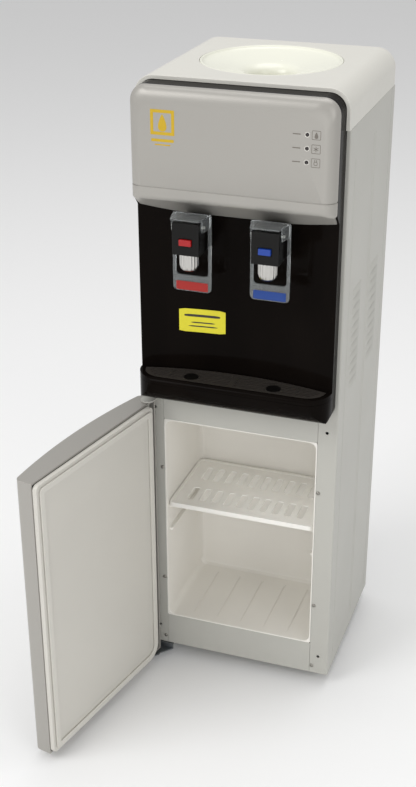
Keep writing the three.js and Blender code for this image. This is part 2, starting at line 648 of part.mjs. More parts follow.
function dripGrille() {
  const inset = TRAY_RIM + CLEARANCE;
  const plate = trayRoom(inset - 3, inset, inset, TRAY_TOP - GRILLE_THICKNESS + 0.3, TRAY_TOP);
  const field = trayRoom(inset + 2, inset + 4, inset + 8, TRAY_TOP - 10, TRAY_TOP + 10);
  let slots;
  for (let f = NICHE_CENTRE + 10; f < APRON_FRONT - inset - 3; f += SLAT_PITCH) {
    const slot = block(-FRAME_HALF, FRAME_HALF, FRONT - f - SLAT_GAP, FRONT - f, TRAY_TOP - 8,
      TRAY_TOP + 8);
    slots = slots ? join(slots, slot) : slot;
  }
  slots = cut(common(slots, field), block(-3, 3, FRONT - APRON_FRONT, FRONT, TRAY_TOP - 9, TRAY_TOP + 9));
  for (const x of [-CUP_MARK_X, CUP_MARK_X]) {
    slots = cut(slots, turned(rod(CUP_MARK_RADIUS, 20), x, FRONT - CUP_MARK_FORWARD, TRAY_TOP - 10, 16));
  }
  return cut(plate, slots);
}

// ---- taps -------------------------------------------------------------------------------------
const TAP_BACK = 14;

function tapBody(x) {
  const half = TAP_WIDTH / 2;
  const underChin = polygon([[TAP_BACK, TAP_BOTTOM], [TAP_FRONT, TAP_BOTTOM], [TAP_FRONT, TAP_TOP],
    [TAP_BACK + 10, TAP_TOP], [TAP_BACK, TAP_TOP - 6]]);
  const housing = common(sideProfile(underChin, x - half, x + half),
    prismY(roundedRectangle(x - half, TAP_BOTTOM, x + half, TAP_TOP, [1.5, 1.5, 1.5, 1.5]),
      FRONT - TAP_FRONT, FRONT));
  const shank = turnedForward(rod(SHANK_RADIUS, 40), x, FRONT + 14, SHANK_HEIGHT, 16);
  const pocket = block(x - BUTTON_WIDTH / 2 - CLEARANCE, x + BUTTON_WIDTH / 2 + CLEARANCE,
    FRONT - TAP_FRONT - 1, FRONT - TAP_FRONT + BUTTON_BEHIND + 4,
    BUTTON_CENTRE - BUTTON_HEIGHT / 2 - CLEARANCE, BUTTON_CENTRE + BUTTON_HEIGHT / 2 + CLEARANCE);
  const pinBore = crossBar(PIN_RADIUS + 0.3, x - half - 1, x + half + 1, FRONT - PIN_FORWARD, PIN_HEIGHT);
  return cut(join(housing, shank), pocket, pinBore);
}

const SPOUT_FORWARD = 57;

function spout(x) {
  const top = TAP_BOTTOM - CLEARANCE;
  const bottom = top - SPOUT_LENGTH;
  const bore = SPOUT_RADIUS / 2;
  const profile = [[0, top], [SPOUT_RADIUS, top], [SPOUT_RADIUS, bottom + 5], [SPOUT_RADIUS - 4, bottom],
    [bore, bottom], [bore, bottom + 12], [0, bottom + 12]];
  return turned(profile, x, FRONT - SPOUT_FORWARD, 0, 20);
}

const HOOD_WALL = 2.6;

// Half the hood's width a given distance in front: it narrows from the paddle to the tap's width.
function hoodHalf(forward) {
  const share = (forward - LEVER_PLANE) / (TAP_FRONT + 3 - LEVER_PLANE);
  return (LEVER_WIDTH - 1) / 2 - (share * (LEVER_WIDTH - 1 - HOOD_FRONT_WIDTH)) / 2;
}

function hoodPlan(x, inset, front) {
  const rear = hoodHalf(LEVER_PLANE) - inset;
  const end = hoodHalf(front) - inset;
  return polygon([[x - rear, FRONT - LEVER_PLANE], [x - end, FRONT - front], [x + end, FRONT - front],
    [x + rear, FRONT - LEVER_PLANE]]);
}

// A clear paddle with a window round the spout, and a hood that hangs it on the tap's pin.
function tapLever(x) {
  const half = LEVER_WIDTH / 2;
  const paddleBack = FRONT - LEVER_PLANE;
  const paddleFront = paddleBack - LEVER_THICKNESS;
  const window = half - LEVER_RAIL;
  const paddle = cut(
    prismY(roundedRectangle(x - half, LEVER_BOTTOM, x + half, LEVER_TOP, [7, 7, 3, 3]), paddleFront,
      paddleBack),
    prismY(roundedRectangle(x - window, LEVER_WINDOW_BOTTOM, x + window, LEVER_TOP - 2.4, [6, 6, 0, 0]),
      paddleFront - 1, paddleBack + 1));
  const roof = prismZ(hoodPlan(x, 0, TAP_FRONT + 3), LEVER_TOP - 2, LEVER_TOP);
  const cheeks = cut(prismZ(hoodPlan(x, 0, PIN_FORWARD + 6), PIN_HEIGHT - 6, LEVER_TOP),
    prismZ(hoodPlan(x, HOOD_WALL, PIN_FORWARD + 9), PIN_HEIGHT - 7, LEVER_TOP + 1));
  const pinBore = crossBar(PIN_RADIUS + 0.3, x - half - 1, x + half + 1, FRONT - PIN_FORWARD, PIN_HEIGHT);
  return cut(join(paddle, roof, cheeks), pinBore);
}

function leverPin(x) {
  const half = hoodHalf(PIN_FORWARD) - 0.6;
  return crossBar(PIN_RADIUS, x - half, x + half, FRONT - PIN_FORWARD, PIN_HEIGHT);
}

function lockButton(x) {
  const half = BUTTON_WIDTH / 2;
  const profile = polygon([[TAP_FRONT - BUTTON_BEHIND, BUTTON_CENTRE - BUTTON_HEIGHT / 2],
    [TAP_FRONT + BUTTON_PROUD, BUTTON_CENTRE - BUTTON_HEIGHT / 2],
    [TAP_FRONT + BUTTON_PROUD, BUTTON_CENTRE + BUTTON_HEIGHT / 2 - 3],
    [TAP_FRONT + BUTTON_PROUD - 1.5, BUTTON_CENTRE + BUTTON_HEIGHT / 2],
    [TAP_FRONT - BUTTON_BEHIND, BUTTON_CENTRE + BUTTON_HEIGHT / 2]]);
  return sideProfile(profile, x - half, x + half);
}

// ---- hinge brackets and door ------------------------------------------------------------------
const BRACKET_TIP = 13;

function bracketPlan(back, reach = 28) {
  const shape = new THREE.Shape();
  shape.moveTo(PIVOT_X - 7, back);
  shape.lineTo(PIVOT_X - 10, PIVOT_Y);
  shape.absarc(PIVOT_X + 1, PIVOT_Y, BRACKET_TIP - 2, Math.PI, 2 * Math.PI);
  shape.lineTo(PIVOT_X + reach, FRONT - 3);
  shape.lineTo(PIVOT_X + reach, back);
  shape.closePath();
  return shape;
}

const BRACKET_DROP = 2;          // bracket sheet below the closed door's bottom edge

function lowerHingeBracket() {
  const plateTop = DOOR_BOTTOM - BRACKET_DROP;
  const legTop = PAN_BOTTOM - CLEARANCE;
  const back = FRONT + 24;
  const profile = polygon([[-24, legTop - BRACKET_SHEET], [1, legTop - BRACKET_SHEET],
    [1, plateTop - BRACKET_SHEET],
    [60, plateTop - BRACKET_SHEET], [60, plateTop], [1 + BRACKET_SHEET,
      plateTop], [1 + BRACKET_SHEET, legTop],
    [-24, legTop]]);
  const sheet = common(sideProfile(profile, -HALF_WIDTH, 0), prismZ(bracketPlan(back), -FOOT_HEIGHT, 20));
  const pin = turned(rod(HINGE_PIN_RADIUS, 12), PIVOT_X, PIVOT_Y, plateTop - 1, 16);
  return join(sheet, pin);
}

function upperHingeBracket() {
  const plateBottom = DOOR_TOP + 1;
  const plateTop = plateBottom + BRACKET_SHEET;
  const profile = polygon([[CLEARANCE, plateBottom - 16], [CLEARANCE + BRACKET_SHEET, plateBottom - 16],
    [CLEARANCE + BRACKET_SHEET, plateBottom], [60, plateBottom], [60, plateTop], [CLEARANCE, plateTop]]);
  const sheet = common(sideProfile(profile, -HALF_WIDTH, 0),
    prismZ(bracketPlan(FRONT, 14), DOOR_TOP - 60, DOOR_TOP + 20));
  const pin = turned(rod(HINGE_PIN_RADIUS, 12), PIVOT_X, PIVOT_Y, plateBottom - 11, 16);
  return join(sheet, pin);
}

// The door is drawn closed round its hinge axis and then turned open.
const door = new THREE.Group();
door.position.set(PIVOT_X, PIVOT_Y, 0);
door.rotation.z = -THREE.MathUtils.degToRad(DOOR_OPEN_ANGLE);
dispenser.add(door);

const DOOR_WIDTH = CABINET_WIDTH - 1;
const DOOR_NEAR = -PIVOT_FROM_EDGE;
const DOOR_FAR = DOOR_NEAR + DOOR_WIDTH;
const DOOR_WALL = 3;
const BUSH_RADIUS = 5.5;

// Plan of the door's bowed shell, seen from above in the closed position.
function shellPlan(inset) {
  const outer = PIVOT_FROM_INNER_FACE - DOOR_EDGE_THICKNESS;
  const corner = 10 - inset;
  const shape = new THREE.Shape();
  const rim = inset > 0 ? SHELL_RIM + 2 : SHELL_RIM;
  shape.moveTo(DOOR_NEAR + inset, rim);
  shape.absarc(DOOR_NEAR + inset + corner, outer + inset + corner, corner, Math.PI, 1.5 * Math.PI);
  const middle = (DOOR_NEAR + DOOR_FAR) / 2;
  const bow = outer - 2 * DOOR_BOW + inset;
  shape.splineThru([new THREE.Vector2((DOOR_NEAR + middle) / 2,
    (outer * 0.25 + (outer - DOOR_BOW) * 0.75) + inset),
    new THREE.Vector2(middle, (outer + bow - inset) / 2 + inset),
    new THREE.Vector2((DOOR_FAR + middle) / 2, (outer * 0.25 + (outer - DOOR_BOW) * 0.75) + inset),
    new THREE.Vector2(DOOR_FAR - inset - corner, outer + inset)]);
  shape.absarc(DOOR_FAR - inset - corner, outer + inset + corner, corner, -Math.PI / 2, 0);
  shape.lineTo(DOOR_FAR - inset, rim);
  shape.closePath();
  return shape;
}

function doorShell() {
  const shell = cut(prismZ(shellPlan(0), DOOR_BOTTOM, DOOR_TOP),
    prismZ(shellPlan(DOOR_WALL), DOOR_BOTTOM + DOOR_WALL, DOOR_TOP - DOOR_WALL));
  const bores = [DOOR_BOTTOM - 1, DOOR_TOP - DOOR_WALL - 1].map((z) =>
    turned(rod(BUSH_RADIUS + CLEARANCE, DOOR_WALL + 2), 0, 0, z, 16));
  return cut(shell, ...bores);
}

const INNER_NEAR = DOOR_NEAR + 18.5;
const INNER_FAR = DOOR_FAR - 1.5;
const INNER_MARGIN = 3;
const INNER_PANEL_THICKNESS = 7.5;
const GASKET_WIDTH = 9;

function innerOutline(inset, corner) {
  const r = Math.max(corner - inset, 0.5);
  return roundedRectangle(INNER_NEAR + inset, DOOR_BOTTOM + INNER_MARGIN + inset,
    INNER_FAR - inset, DOOR_TOP - INNER_MARGIN - inset, [25 - inset, r, r, r]);
}

function doorInnerPanel() {
  const near = SHELL_RIM + CLEARANCE;
  return prismY(innerOutline(0, 8), near, near + INNER_PANEL_THICKNESS);
}

function doorGasket() {
  const near = SHELL_RIM + 2 * CLEARANCE + INNER_PANEL_THICKNESS;
  return cut(prismY(innerOutline(6, 8), near, PIVOT_FROM_INNER_FACE),
    prismY(innerOutline(6 + GASKET_WIDTH, 8), near - 1, PIVOT_FROM_INNER_FACE + 1));
}

function doorBush(bottom) {
  const bore = HINGE_PIN_RADIUS + 0.2;
  return turned([[bore, 0], [BUSH_RADIUS, 0], [BUSH_RADIUS, DOOR_WALL], [bore, DOOR_WALL],
    [bore, 0]], 0, 0, bottom, 16);
}

// ---- tanks, pipes and cooling circuit ---------------------------------------------------------
const DECK_HEIGHT = CABINET_HEIGHT - 285;
const TANK_RADIUS = 70;
const TANK_TOP = CABINET_HEIGHT - 91;
const INSULATION = 15;
const HOT_RADIUS = 46;
const HOT_HEIGHT = 112;

function innerDeck() {
  const half = HALF_WIDTH - SHEET - CLEARANCE;
  return block(-half, half, FRONT + 50, BACK_PANEL_Y - 2, DECK_HEIGHT, DECK_HEIGHT + SHEET);
}

function coldTank() {
  const bottom = DECK_HEIGHT + SHEET + 12;
  const neck = SEAT_THROAT - 8.5;
  const profile = [[0, bottom], [TANK_RADIUS - 5, bottom], [TANK_RADIUS, bottom + 6],
    [TANK_RADIUS, TANK_TOP - 2],
    [neck, TANK_TOP + 8], [neck, TANK_TOP + 15], [neck - SHEET, TANK_TOP + 15], [neck - SHEET,
      TANK_TOP + 6.5],
    [TANK_RADIUS - SHEET, TANK_TOP - 3.2], [TANK_RADIUS - SHEET, bottom + 6.6], [TANK_RADIUS - 5.6,
      bottom + SHEET],
    [0, bottom + SHEET]];
  return turned(profile, 0, SEAT_Y, 0, 24);
}

function tankInsulation() {
  const outer = TANK_RADIUS + INSULATION;
  const inner = TANK_RADIUS + CLEARANCE;
  const bottom = DECK_HEIGHT + SHEET + CLEARANCE;
  const floor = DECK_HEIGHT + SHEET + 12 - CLEARANCE;
  return turned([[0, bottom], [outer, bottom], [outer, TANK_TOP - 2], [inner, TANK_TOP - 2],
    [inner, floor], [0, floor]],
    0, SEAT_Y, 0, 24);
}

function hotTank() {
  const top = DECK_HEIGHT - CLEARANCE;
  const bottom = top - HOT_HEIGHT;
  const profile = [[0, bottom], [HOT_RADIUS - 4, bottom], [HOT_RADIUS, bottom + 4], [HOT_RADIUS, top - 6],
    [HOT_RADIUS - 4, top - 2], [8, top], [8, top - SHEET], [HOT_RADIUS - 4.6, top - 2 - SHEET],
    [HOT_RADIUS - SHEET, top - 6.6], [HOT_RADIUS - SHEET, bottom + 4.6], [HOT_RADIUS - 4.6, bottom + SHEET],
    [0, bottom + SHEET]];
  return turned(profile, 0, SEAT_Y, 0, 20);
}

const HOSE_RADIUS = 5;
const HOSE_START = 17;

function coldHose() {
  const x = TAP_SPACING / 2;
  const reach = Math.sqrt((TANK_RADIUS + INSULATION) ** 2 - (x - 6) ** 2);
  const end = SEAT_Y - reach - 8;
  return tube([[x, FRONT + HOSE_START, SHANK_HEIGHT], [x, FRONT + 30, SHANK_HEIGHT],
    [x, end - 12, SHANK_HEIGHT + 4],
    [x, end, SHANK_HEIGHT + 6]], HOSE_RADIUS, 8);
}

function hotHose() {
  const x = -TAP_SPACING / 2;
  const low = DECK_HEIGHT - 40;
  return tube([[x, FRONT + HOSE_START, SHANK_HEIGHT], [x, FRONT + 30, SHANK_HEIGHT - 6],
    [x, FRONT + 38, DECK_HEIGHT + 12],
    [x + 8, FRONT + 40, low + 16], [x + 30, FRONT + 58, low], [-10, SEAT_Y - HOT_RADIUS - 7,
      low]], HOSE_RADIUS, 16);
}

const COMPRESSOR = { x: -60, radius: 42, height: 125 };

function compressor() {
  const y = (FRONT + TUB_DEPTH + TUB_WALL + BACK_PANEL_Y) / 2;
  const floor = PAN_BOTTOM + SHEET + CLEARANCE;
  const { x, radius, height } = COMPRESSOR;
  return turned([[0, 0], [radius - 4, 0], [radius - 4, 6], [radius - 8, 12], [radius - 2, 22], [radius, 60],
    [radius - 2, height - 30], [radius - 14, height - 6], [0, height]], x, y, floor, 24);
}

function filterDrier() {
  const y = (FRONT + TUB_DEPTH + TUB_WALL + BACK_PANEL_Y) / 2;
  const floor = PAN_BOTTOM + SHEET + CLEARANCE;
  return turned([[0, 0], [3, 0], [3, 20], [9, 30], [9, 110], [3, 120], [3, 140], [0, 140]], 40, y,
    floor, 12);
}

const CONDENSER = { halfWidth: 118, bottom: 150, pitch: 76, runs: 7, radius: 2.4, standOff: 12 };

// One tube bent to and fro across the back.
function condenser() {
  const { halfWidth, bottom, pitch, runs, radius, standOff } = CONDENSER;
  const y = BACK_PANEL_Y + SHEET + standOff - radius;
  const path = new THREE.CurvePath();
  const point = (x, z) => new THREE.Vector3(x, y, z);
  for (let i = 0; i < runs; i += 1) {
    const side = i % 2 === 0 ? 1 : -1;
    const z = bottom + i * pitch;
    path.add(new THREE.LineCurve3(point(-side * halfWidth, z), point(side * halfWidth, z)));
    if (i < runs - 1) {
      const reach = side * (halfWidth + pitch * 0.35);
      path.add(new THREE.CubicBezierCurve3(point(side * halfWidth, z), point(reach, z),
        point(reach, z + pitch), point(side * halfWidth, z + pitch)));
    }
  }
  const section = new THREE.Shape();
  section.absarc(0, 0, radius, 0, 2 * Math.PI);
  return solid(new THREE.ExtrudeGeometry(section, { steps: 72, extrudePath: path, curveSegments: 3 }));
}

// ---- rear fittings ----------------------------------------------------------------------------
const ROCKER = { halfWidth: 6.5, halfHeight: 10.5, tilt: 8 };

function switchBezel() {
  const margin = 4;
  const y0 = BACK_PANEL_Y + SHEET + CLEARANCE;
  const low = SWITCH_HEIGHT - SWITCH_PITCH;
  let bezel = block(SWITCH_X - SWITCH_HOLE[0] / 2 - margin, SWITCH_X + SWITCH_HOLE[0] / 2 + margin,
    y0, y0 + 3,
    low - SWITCH_HOLE[1] / 2 - margin, SWITCH_HEIGHT + SWITCH_HOLE[1] / 2 + margin);
  for (const z of [low, SWITCH_HEIGHT]) {
    bezel = cut(bezel, block(SWITCH_X - ROCKER.halfWidth - 0.6, SWITCH_X + ROCKER.halfWidth + 0.6,
      y0 - 1, y0 + 4,
      z - ROCKER.halfHeight - 1.2, z + ROCKER.halfHeight + 1.2));
  }
  return bezel;
}

// A shallow V that tips about its middle: one half is flush when the other stands out.
function rocker(z) {
  const { halfWidth, halfHeight, tilt } = ROCKER;
  const shape = polygon([[3, -halfHeight], [-6.5, -halfHeight], [-4.5, 0], [-6.5, halfHeight],
    [3, halfHeight]]);
  const flat = sideProfile(shape, -halfWidth, halfWidth).translate([0, -FRONT, 0]);
  return flat.rotate([tilt, 0, 0]).translate([SWITCH_X, BACK_PANEL_Y + SHEET, z]);
}

function drainCap() {
  const { x, z, stem, head } = DRAIN;
  const profile = [[0, 0], [head - 1, 0], [head, 2], [head, 10], [stem, 10], [stem, 20], [0, 20]];
  return turnedForward(profile, x, BACK_PANEL_Y + SHEET + CLEARANCE + 10, z, 16);
}

function cordGland() {
  const { x, z, stem, head } = GLAND;
  const profile = [[3.6, 0], [head - 3, 0], [head, 8], [head, 10], [stem, 10], [stem, 18],
    [3.6, 18], [3.6, 0]];
  return turnedForward(profile, x, BACK_PANEL_Y + SHEET + CLEARANCE + 10, z, 16);
}

// ---- assembly ---------------------------------------------------------------------------------
const LEFT = -1;
const RIGHT = 1;

place('base_pan', basePan(), PAINTED_STEEL);
for (const [end, yAxis] of [['front', -1], ['rear', 1]]) {
  for (const [hand, xAxis] of [['left', LEFT], ['right', RIGHT]]) {
    place(`foot_${end}_${hand}`, foot(xAxis * (HALF_WIDTH - FOOT_SIDE_SETBACK),
      yAxis * (BACK - FOOT_SETBACK)), RUBBER);
  }
}
place('side_panel_left', sidePanel(LEFT), PAINTED_STEEL);
place('side_panel_right', sidePanel(RIGHT), PAINTED_STEEL);
place('back_panel', backPanel(), PAINTED_STEEL);
place('top_cover', topCover(), PALE_PLASTIC);
place('bottle_seat', bottleSeat(), CREAM_PLASTIC);
place('bottle_probe', bottleProbe(), WHITE_PLASTIC);

place('front_frame', frontFrame(), BLACK_GLOSS);
place('display_panel', displayPanel(), SILVER_PLASTIC);
['heating', 'cooling', 'power'].forEach((use, i) => place(`${use}_indicator_lens`, indicatorLens(i),
  BLACK_PLASTIC));
place('display_board', displayBoard(), CIRCUIT_BOARD);

place('header_rail', headerRail(), PAINTED_STEEL);
place('plinth_panel', plinthPanel(), PAINTED_STEEL);
place('storage_tub', storageTub(), LINER_PLASTIC);
place('storage_shelf', storageShelf(), WHITE_PLASTIC);
place('drip_tray', dripTray(), BLACK_GLOSS);
place('drip_grille', dripGrille(), BLACK_PLASTIC);

const TAPS = [['hot', -TAP_SPACING / 2, RED_PLASTIC], ['cold', TAP_SPACING / 2, BLUE_PLASTIC]];
for (const [water, x, colour] of TAPS) {
  place(`${water}_tap_body`, tapBody(x), BLACK_PLASTIC);
  place(`${water}_spout`, spout(x), CHROME);
  place(`${water}_lever`, tapLever(x), CLEAR_PLASTIC);
  place(`${water}_lever_pin`, leverPin(x), WHITE_PLASTIC);
  place(`${water}_lock_button`, lockButton(x), colour);
}

place('lower_hinge_bracket', lowerHingeBracket(), ZINC);
place('upper_hinge_bracket', upperHingeBracket(), PAINTED_STEEL);
place('door_shell', doorShell(), SILVER_PLASTIC, door);
place('door_inner_panel', doorInnerPanel(), LINER_PLASTIC, door);
place('door_gasket', doorGasket(), WHITE_PLASTIC, door);
place('door_bush_lower', doorBush(DOOR_BOTTOM), WHITE_PLASTIC, door);
place('door_bush_upper', doorBush(DOOR_TOP - DOOR_WALL), WHITE_PLASTIC, door);

place('inner_deck', innerDeck(), PAINTED_STEEL);
place('cold_tank', coldTank(), STAINLESS);
place('tank_insulation', tankInsulation(), FOAM);
place('hot_tank', hotTank(), STAINLESS);
place('cold_hose', coldHose(), SILICONE);
place('hot_hose', hotHose(), SILICONE);
place('compressor', compressor(), BLACK_STEEL);
place('filter_drier', filterDrier(), ZINC);
place('condenser', condenser(), BLACK_STEEL);

place('switch_bezel', switchBezel(), BLACK_PLASTIC);
place('heating_rocker', rocker(SWITCH_HEIGHT), RED_PLASTIC);
place('cooling_rocker', rocker(SWITCH_HEIGHT - SWITCH_PITCH), BLACK_PLASTIC);
place('drain_cap', drainCap(), BLACK_PLASTIC);
place('cord_gland', cordGland(), BLACK_PLASTIC);
for (const [hand, side] of [['left', LEFT], ['right', RIGHT]]) {
  SCREW_HEIGHTS.forEach((z, i) => place(`column_screw_${hand}_${i + 1}`, columnScrew(side, z), ZINC));
}

export default dispenser;
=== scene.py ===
import math

import bmesh
import bpy
from mathutils import Matrix, Vector


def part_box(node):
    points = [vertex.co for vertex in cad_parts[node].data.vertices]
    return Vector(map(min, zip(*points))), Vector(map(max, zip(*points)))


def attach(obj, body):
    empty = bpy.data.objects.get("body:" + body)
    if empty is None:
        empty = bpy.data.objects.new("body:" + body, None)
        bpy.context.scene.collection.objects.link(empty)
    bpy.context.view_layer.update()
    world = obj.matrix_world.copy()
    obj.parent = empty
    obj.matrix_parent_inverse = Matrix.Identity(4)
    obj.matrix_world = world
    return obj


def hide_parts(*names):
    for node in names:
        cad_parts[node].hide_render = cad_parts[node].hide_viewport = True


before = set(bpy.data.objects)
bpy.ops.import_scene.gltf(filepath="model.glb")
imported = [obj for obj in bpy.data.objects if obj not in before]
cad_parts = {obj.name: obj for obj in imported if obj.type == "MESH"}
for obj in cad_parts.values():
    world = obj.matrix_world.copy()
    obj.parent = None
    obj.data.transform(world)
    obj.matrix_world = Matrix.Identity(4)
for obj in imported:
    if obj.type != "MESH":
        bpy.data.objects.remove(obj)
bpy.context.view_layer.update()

# ---- studio ---------------------------------------------------------------------------------
# A pale seamless floor, a large soft key on the left, weaker lights on the right, above and low
# in front, and an even white surround. The dispenser stands on its four rubber feet.


def span(node):
    """A frame node's box in millimetres: x0, y0, z0, x1, y1, z1."""
    low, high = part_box(node)
    return [1000 * value for value in (*low, *high)]


FRONT = span("side_panel_left")[1]
CABINET_X1, BACK = span("side_panel_right")[3:5]
GROUND = span("foot_front_left")[2]


def millimetres(*place):
    return Vector(place) * 0.001


def studio_floor():
    mesh = bpy.data.meshes.new("studio_floor")
    half = 14.0
    height = GROUND * 0.001
    corners = [(-half, -half, height), (half, -half, height), (half, half, height), (-half, half, height)]
    mesh.from_pydata(corners, [], [(0, 1, 2, 3)])
    floor = bpy.data.objects.new("studio_floor", mesh)
    bpy.context.scene.collection.objects.link(floor)
    paper = bpy.data.materials.new("floor_paper")
    paper.use_nodes = True
    surface = paper.node_tree.nodes["Principled BSDF"]
    surface.inputs["Base Color"].default_value = (0.93, 0.93, 0.93, 1)
    surface.inputs["Roughness"].default_value = 0.95
    surface.inputs["Specular IOR Level"].default_value = 0.1
    mesh.materials.append(paper)


def soft_box(name, place, aim, size, power):
    lamp = bpy.data.lights.new(name, "AREA")
    lamp.shape = "RECTANGLE"
    lamp.size, lamp.size_y = size
    lamp.energy = power
    holder = bpy.data.objects.new(name, lamp)
    bpy.context.scene.collection.objects.link(holder)
    holder.location = place
    holder.rotation_euler = (Vector(aim) - Vector(place)).to_track_quat("-Z", "Y").to_euler()


def studio_surround(strength):
    world = bpy.data.worlds.new("surround")
    world.use_nodes = True
    background = world.node_tree.nodes["Background"]
    background.inputs["Color"].default_value = (1, 1, 1, 1)
    background.inputs["Strength"].default_value = strength
    bpy.context.scene.world = world


def studio_camera():
    azimuth, elevation, roll = math.radians(19.39), math.radians(26.17), math.radians(-0.22)
    lens = bpy.data.cameras.new("studio_camera")
    lens.sensor_width = 36
    lens.lens = 59.755
    lens.clip_end = 60
    camera = bpy.data.objects.new("studio_camera", lens)
    bpy.context.scene.collection.objects.link(camera)
    back = Vector((math.sin(azimuth) * math.cos(elevation), -math.cos(azimuth) * math.cos(elevation),
                   math.sin(elevation)))
    right = Vector((math.cos(azimuth), math.sin(azimuth), 0))
    up = back.cross(right)
    turned_right = right * math.cos(roll) + up * math.sin(roll)
    turned_up = up * math.cos(roll) - right * math.sin(roll)
    camera.matrix_world = Matrix.Translation(millimetres(544.9, FRONT - 1692.6, 1368.4)) @ Matrix(
        (turned_right, turned_up, back)).transposed().to_4x4()
    bpy.context.scene.camera = camera


studio_floor()
studio_surround(0.58)
soft_box("key_light", (-2.2, -2.6, 3.2), (0, 0, 0.5), (2.4, 2.0), 65)
soft_box("fill_light", (2.8, -2.4, 1.8), (0, 0, 0.5), (1.8, 2.2), 20)
soft_box("top_light", (0.2, 0.4, 3.4), (0, 0, 0.6), (2.2, 2.2), 30)
soft_box("front_light", (0.3, -3.0, 0.7), (0, 0, 0.3), (2.0, 1.2), 8)
studio_camera()
bpy.context.scene.view_settings.view_transform = "Standard"

# ---- side panels ----------------------------------------------------------------------------
# Cold-rolled sheet, folded into a channel whose front flange makes the column beside the door,
# with pressed stiffening lines and two banks of louvres. Powder coated after pressing.


class Wire:
    """A shader socket. Arithmetic on it adds the Math node that works the result out."""

    def __init__(self, finish, socket):
        self.finish = finish
        self.socket = socket

    def math(self, operation, first, second):
        return self.finish.node("ShaderNodeMath", {"operation": operation}, {0: first, 1: second})

    def __add__(self, other):
        return self.math("ADD", self, other)

    def __sub__(self, other):
        return self.math("SUBTRACT", self, other)

    def __mul__(self, other):
        return self.math("MULTIPLY", self, other)

    def __rsub__(self, other):
        return self.math("SUBTRACT", other, self)

    def __gt__(self, other):
        return self.math("GREATER_THAN", self, other)

    def __lt__(self, other):
        return self.math("LESS_THAN", self, other)

    __radd__ = __add__
    __rmul__ = __mul__


class Finish:
    """One material: a Principled surface and the nodes that vary it."""

    def __init__(self, name, colour, roughness, **fixed):
        self.material = bpy.data.materials.new(name)
        self.material.use_nodes = True
        self.tree = self.material.node_tree
        self.surface = self.tree.nodes["Principled BSDF"]
        self.colour = (*colour, 1)
        self.roughness = roughness
        self.set(base_color=self.colour, roughness=roughness, **fixed)
        self.place = self.node("ShaderNodeTexCoord", {}, {}, "Object")

    def set(self, **sockets):
        for name, value in sockets.items():
            words = [word.upper() if word == "ior" else word.title() for word in name.split("_")]
            self.feed(self.surface.inputs[" ".join(words)], value)

    def feed(self, socket, value):
        if isinstance(value, Wire):
            self.tree.links.new(value.socket, socket)
        else:
            socket.default_value = value

    def node(self, kind, settings, sockets, output=0):
        made = self.tree.nodes.new(kind)
        for name, value in settings.items():
            if name == "stops":
                while len(made.color_ramp.elements) < len(value):
                    made.color_ramp.elements.new(0.5)
                for element, (position, shade) in zip(made.color_ramp.elements, value):
                    element.position = position
                    element.color = (shade, shade, shade, 1)
            else:
                setattr(made, name, value)
        for name, value in sockets.items():
            self.feed(made.inputs[name], value)
        return Wire(self, made.outputs[output])

    def noise(self, scale, detail=3.0, place=None):
        sockets = {"Vector": place or self.place, "Scale": scale, "Detail": detail}
        return self.node("ShaderNodeTexNoise", {}, sockets, 0)

    def stretched(self, x, y, z):
        return self.node("ShaderNodeMapping", {}, {"Vector": self.place, "Scale": (x, y, z)})

    def coordinate(self, axis):
        return self.node("ShaderNodeSeparateXYZ", {}, {"Vector": self.place}, axis)

    def blend(self, factor, first, second):
        sockets = {"Factor": factor, 6: first, 7: second}
        return self.node("ShaderNodeMix", {"data_type": "RGBA"}, sockets, 2)

    def bump(self, height, strength, distance):
        sockets = {"Height": height, "Strength": strength, "Distance": distance}
        self.set(normal=self.node("ShaderNodeBump", {}, sockets))

    def shaded(self, amount, factor):
        """The base colour, darker by amount where factor is 1."""
        dark = tuple(channel * (1 - amount) for channel in self.colour[:3]) + (1,)
        self.set(base_color=self.blend(factor, self.colour, dark))


def powder_coat(name, colour):
    """Sprayed and baked powder: an orange-peel skin, slightly cloudy, and darker in patches towards the floor."""
    coat = Finish(name, colour, 0.42, specular_ior_level=0.4)
    cloud = coat.noise(6, 4)
    height = coat.coordinate("Z")
    # A height mask: the coat is made darker in patches towards the floor.
    dust_and_low_fade = coat.node("ShaderNodeMapRange", {}, {0: height, 1: 0.0, 2: 0.5, 3: 0.5, 4: 0.0})
    coat.shaded(0.12, cloud * 0.5 + dust_and_low_fade * coat.noise(35, 5))
    coat.set(roughness=0.36 + cloud * 0.14)
    coat.bump(coat.noise(520, 2) + coat.noise(1700, 1) * 0.3, 0.16, 0.0006)
    return coat.material


def srgb(red, green, blue):
    """A colour on the usual 0 to 255 scale, as the renderer's linear values."""
    return tuple(((c / 255 + 0.055) / 1.055) ** 2.4 if c > 10 else c / 3294.6 for c in (red, green, blue))


PANEL_COAT = powder_coat("panel_powder_coat", srgb(188, 187, 180))
MM = 0.001
DISPENSER = "cabinet"


def rounded(a0, b0, a1, b1, radii, steps=8):
    """Points of a rectangle with its own radius at each corner, counterclockwise from the low corner."""
    corners = [(a0, b0, 1, 1), (a1, b0, -1, 1), (a1, b1, -1, -1), (a0, b1, 1, -1)]
    points = []
    for index, (a, b, in_a, in_b) in enumerate(corners):
        radius = radii[index] if isinstance(radii, (list, tuple)) else radii
        count = steps if radius > 0 else 0
        for step in range(count + 1):
            angle = math.pi + math.pi / 2 * (index + (step / count if count else 0))
            points.append((a + in_a * radius + radius * math.cos(angle),
                           b + in_b * radius + radius * math.sin(angle)))
    return points


def laid(points, depth, across):
    """Outline points as places in space, at one depth across the named axis."""
    order = {"z": lambda a, b: (a, b, depth), "y": lambda a, b: (a, depth, b), "x": lambda a, b: (depth, a, b)}
    return [order[across](a, b) for a, b in points]


def tidy(shape):
    bmesh.ops.remove_doubles(shape, verts=shape.verts, dist=0.0005)
    bmesh.ops.dissolve_degenerate(shape, edges=shape.edges, dist=0.0005)
    bmesh.ops.recalc_face_normals(shape, faces=shape.faces)
    return shape


